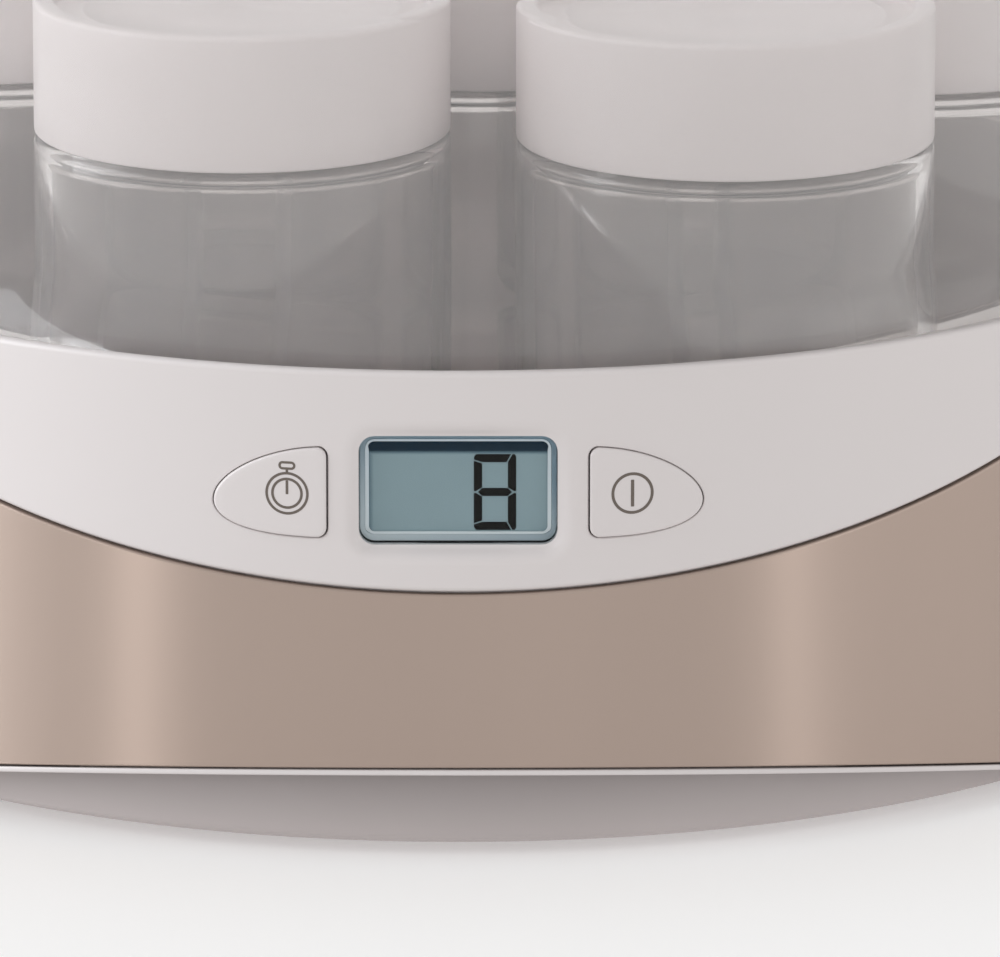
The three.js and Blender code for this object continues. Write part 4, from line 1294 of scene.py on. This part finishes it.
def placeJars():
    jarModel, capModel = buildJars(), buildCap()
    for i in range(1, 8):
        low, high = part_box(f"jar_{i}")
        middle = (low + high) / 2 / mm
        rest = (middle.x, middle.y, low.z / mm)
        for model, piece, body, slotName in (
                (jarModel, f"glass_jar_{i}", f"jar_{i}", "jar_glass"),
                (capModel, f"screw_cap_{i}", f"cap_{i}", "white_plastic")):
            placed = fit(copyOf(model, piece, rest), body, slotName, [body], smoothDegrees=38)
            # the caps take the brighter copy of the white plastic, which is painted light
            if model is capModel:
                placed.data.materials[0] = capPaintedLightPlastic
    for model in (jarModel, capModel):
        bpy.data.objects.remove(model)


buildHousing()
print("housing done")
buildBand()
buildPan()
print("band and base done")
buildBush()
buildFeet()
buildBowl()
print("bowl, gland and feet done")
buildWindow()
buildDisplay()
buildDigit()
buildKey("timer", -1)
buildKey("power", 1)
buildIcons()
print("display and keys done")
buildLid()
placeJars()
print("lid, jars and caps done")


# Floor, light and camera

studio = {
    "floorSize": 120,  # in metres
    "floorColour": (0.9, 0.9, 0.9),
    "floorGlow": 0.28,
    "skyLow": 0.95,
    "skyHigh": 0.7,
    # name: place and size in metres, power in watts, colour
    "lamps": {
        "leftSoftbox": ((-3.3, 0.1, 1.7), (3.2, 3.2), 125, (0.92, 0.96, 1.0)),
        "rightSoftbox": ((2.9, -1.3, 1.6), (3.0, 3.0), 14, (1.0, 0.985, 0.97)),
        "topSoftbox": ((0.2, 0.5, 2.6), (1.8, 1.8), 2, (1.0, 1.0, 1.0)),
        "leftStrip": ((-1.33, -1.31, 0.35), (0.12, 0.7), 2.0, (1.0, 1.0, 1.0)),
        "rightStrip": ((1.33, -1.24, 0.35), (0.12, 0.7), 1.2, (1.0, 1.0, 1.0)),
    },
    "stripsLight": "satin_band",  # the two strips draw its streaks and light nothing else
    "aim": (0, 0, 0.07),
    "cameraPlace": (0.00657, -1.8371, 0.5134),
    "cameraPitch": 75.22,
    "lens": 405.53,
}


def buildStudio():
    dropSelection()
    bpy.ops.mesh.primitive_plane_add(size=studio["floorSize"])
    floor = bpy.context.object
    floor.name = "floor"
    material, nodes, links, shader = newMaterial("paleFloor")
    colour = studio["floorColour"]
    mottle = noiseOn(nodes, links, 3, 2)
    ramp = rampOf(nodes, links, mottle.outputs["Fac"], [(0.3, shade(colour, 0.995)), (0.7, colour)])
    links.new(ramp.outputs["Color"], shader.inputs["Base Color"])
    shader.inputs["Roughness"].default_value = 0.8
    shader.inputs["Emission Color"].default_value = (1, 1, 1, 1)
    shader.inputs["Emission Strength"].default_value = studio["floorGlow"]
    floor.data.materials.append(material)

    world = bpy.data.worlds.new("softWhite")
    bpy.context.scene.world = world
    world.use_nodes = True
    nodes, links = world.node_tree.nodes, world.node_tree.links
    sky = nodes["Background"]
    sky.inputs["Strength"].default_value = 1
    place = nodes.new("ShaderNodeTexCoord")
    parts = nodes.new("ShaderNodeSeparateXYZ")
    links.new(place.outputs["Generated"], parts.inputs["Vector"])
    ramp = rampOf(nodes, links, parts.outputs["Z"],
                  [(0.0, (studio["skyLow"],) * 3), (0.7, (studio["skyHigh"],) * 3)])
    links.new(ramp.outputs["Color"], sky.inputs["Color"])

    notFloor = bpy.data.collections.new("notFloor")  # the lamps leave the floor to the even sky
    notFloor.objects.link(floor)
    notFloor.collection_objects[0].light_linking.link_state = "EXCLUDE"
    bandOnly = bpy.data.collections.new("bandOnly")
    bandOnly.objects.link(bpy.data.objects[studio["stripsLight"]])
    for name, (place, size, power, colour) in studio["lamps"].items():
        bpy.ops.object.light_add(type="AREA", location=place)
        lamp = bpy.context.object
        lamp.name = name
        lamp.data.shape = "RECTANGLE"
        lamp.data.size, lamp.data.size_y = size
        lamp.data.energy = power
        lamp.data.color = colour
        lamp.visible_camera = False
        lamp.light_linking.receiver_collection = bandOnly if name.endswith("Strip") else notFloor
        towards = Vector(studio["aim"]) - Vector(place)
        lamp.rotation_euler = towards.to_track_quat("-Z", "Y").to_euler()

    bpy.ops.object.camera_add(location=studio["cameraPlace"])
    camera = bpy.context.object
    camera.rotation_euler = (math.radians(studio["cameraPitch"]), 0, 0)
    camera.data.lens = studio["lens"]
    camera.data.sensor_width = 36
    camera.data.clip_end = 200
    scene = bpy.context.scene
    scene.camera = camera
    scene.view_settings.view_transform = "Standard"
    scene.cycles.max_bounces = 32
    scene.cycles.transmission_bounces = 32
    scene.cycles.glossy_bounces = 24
    scene.cycles.diffuse_bounces = 6
    scene.cycles.sample_clamp_indirect = 8


buildStudio()
print("studio done")
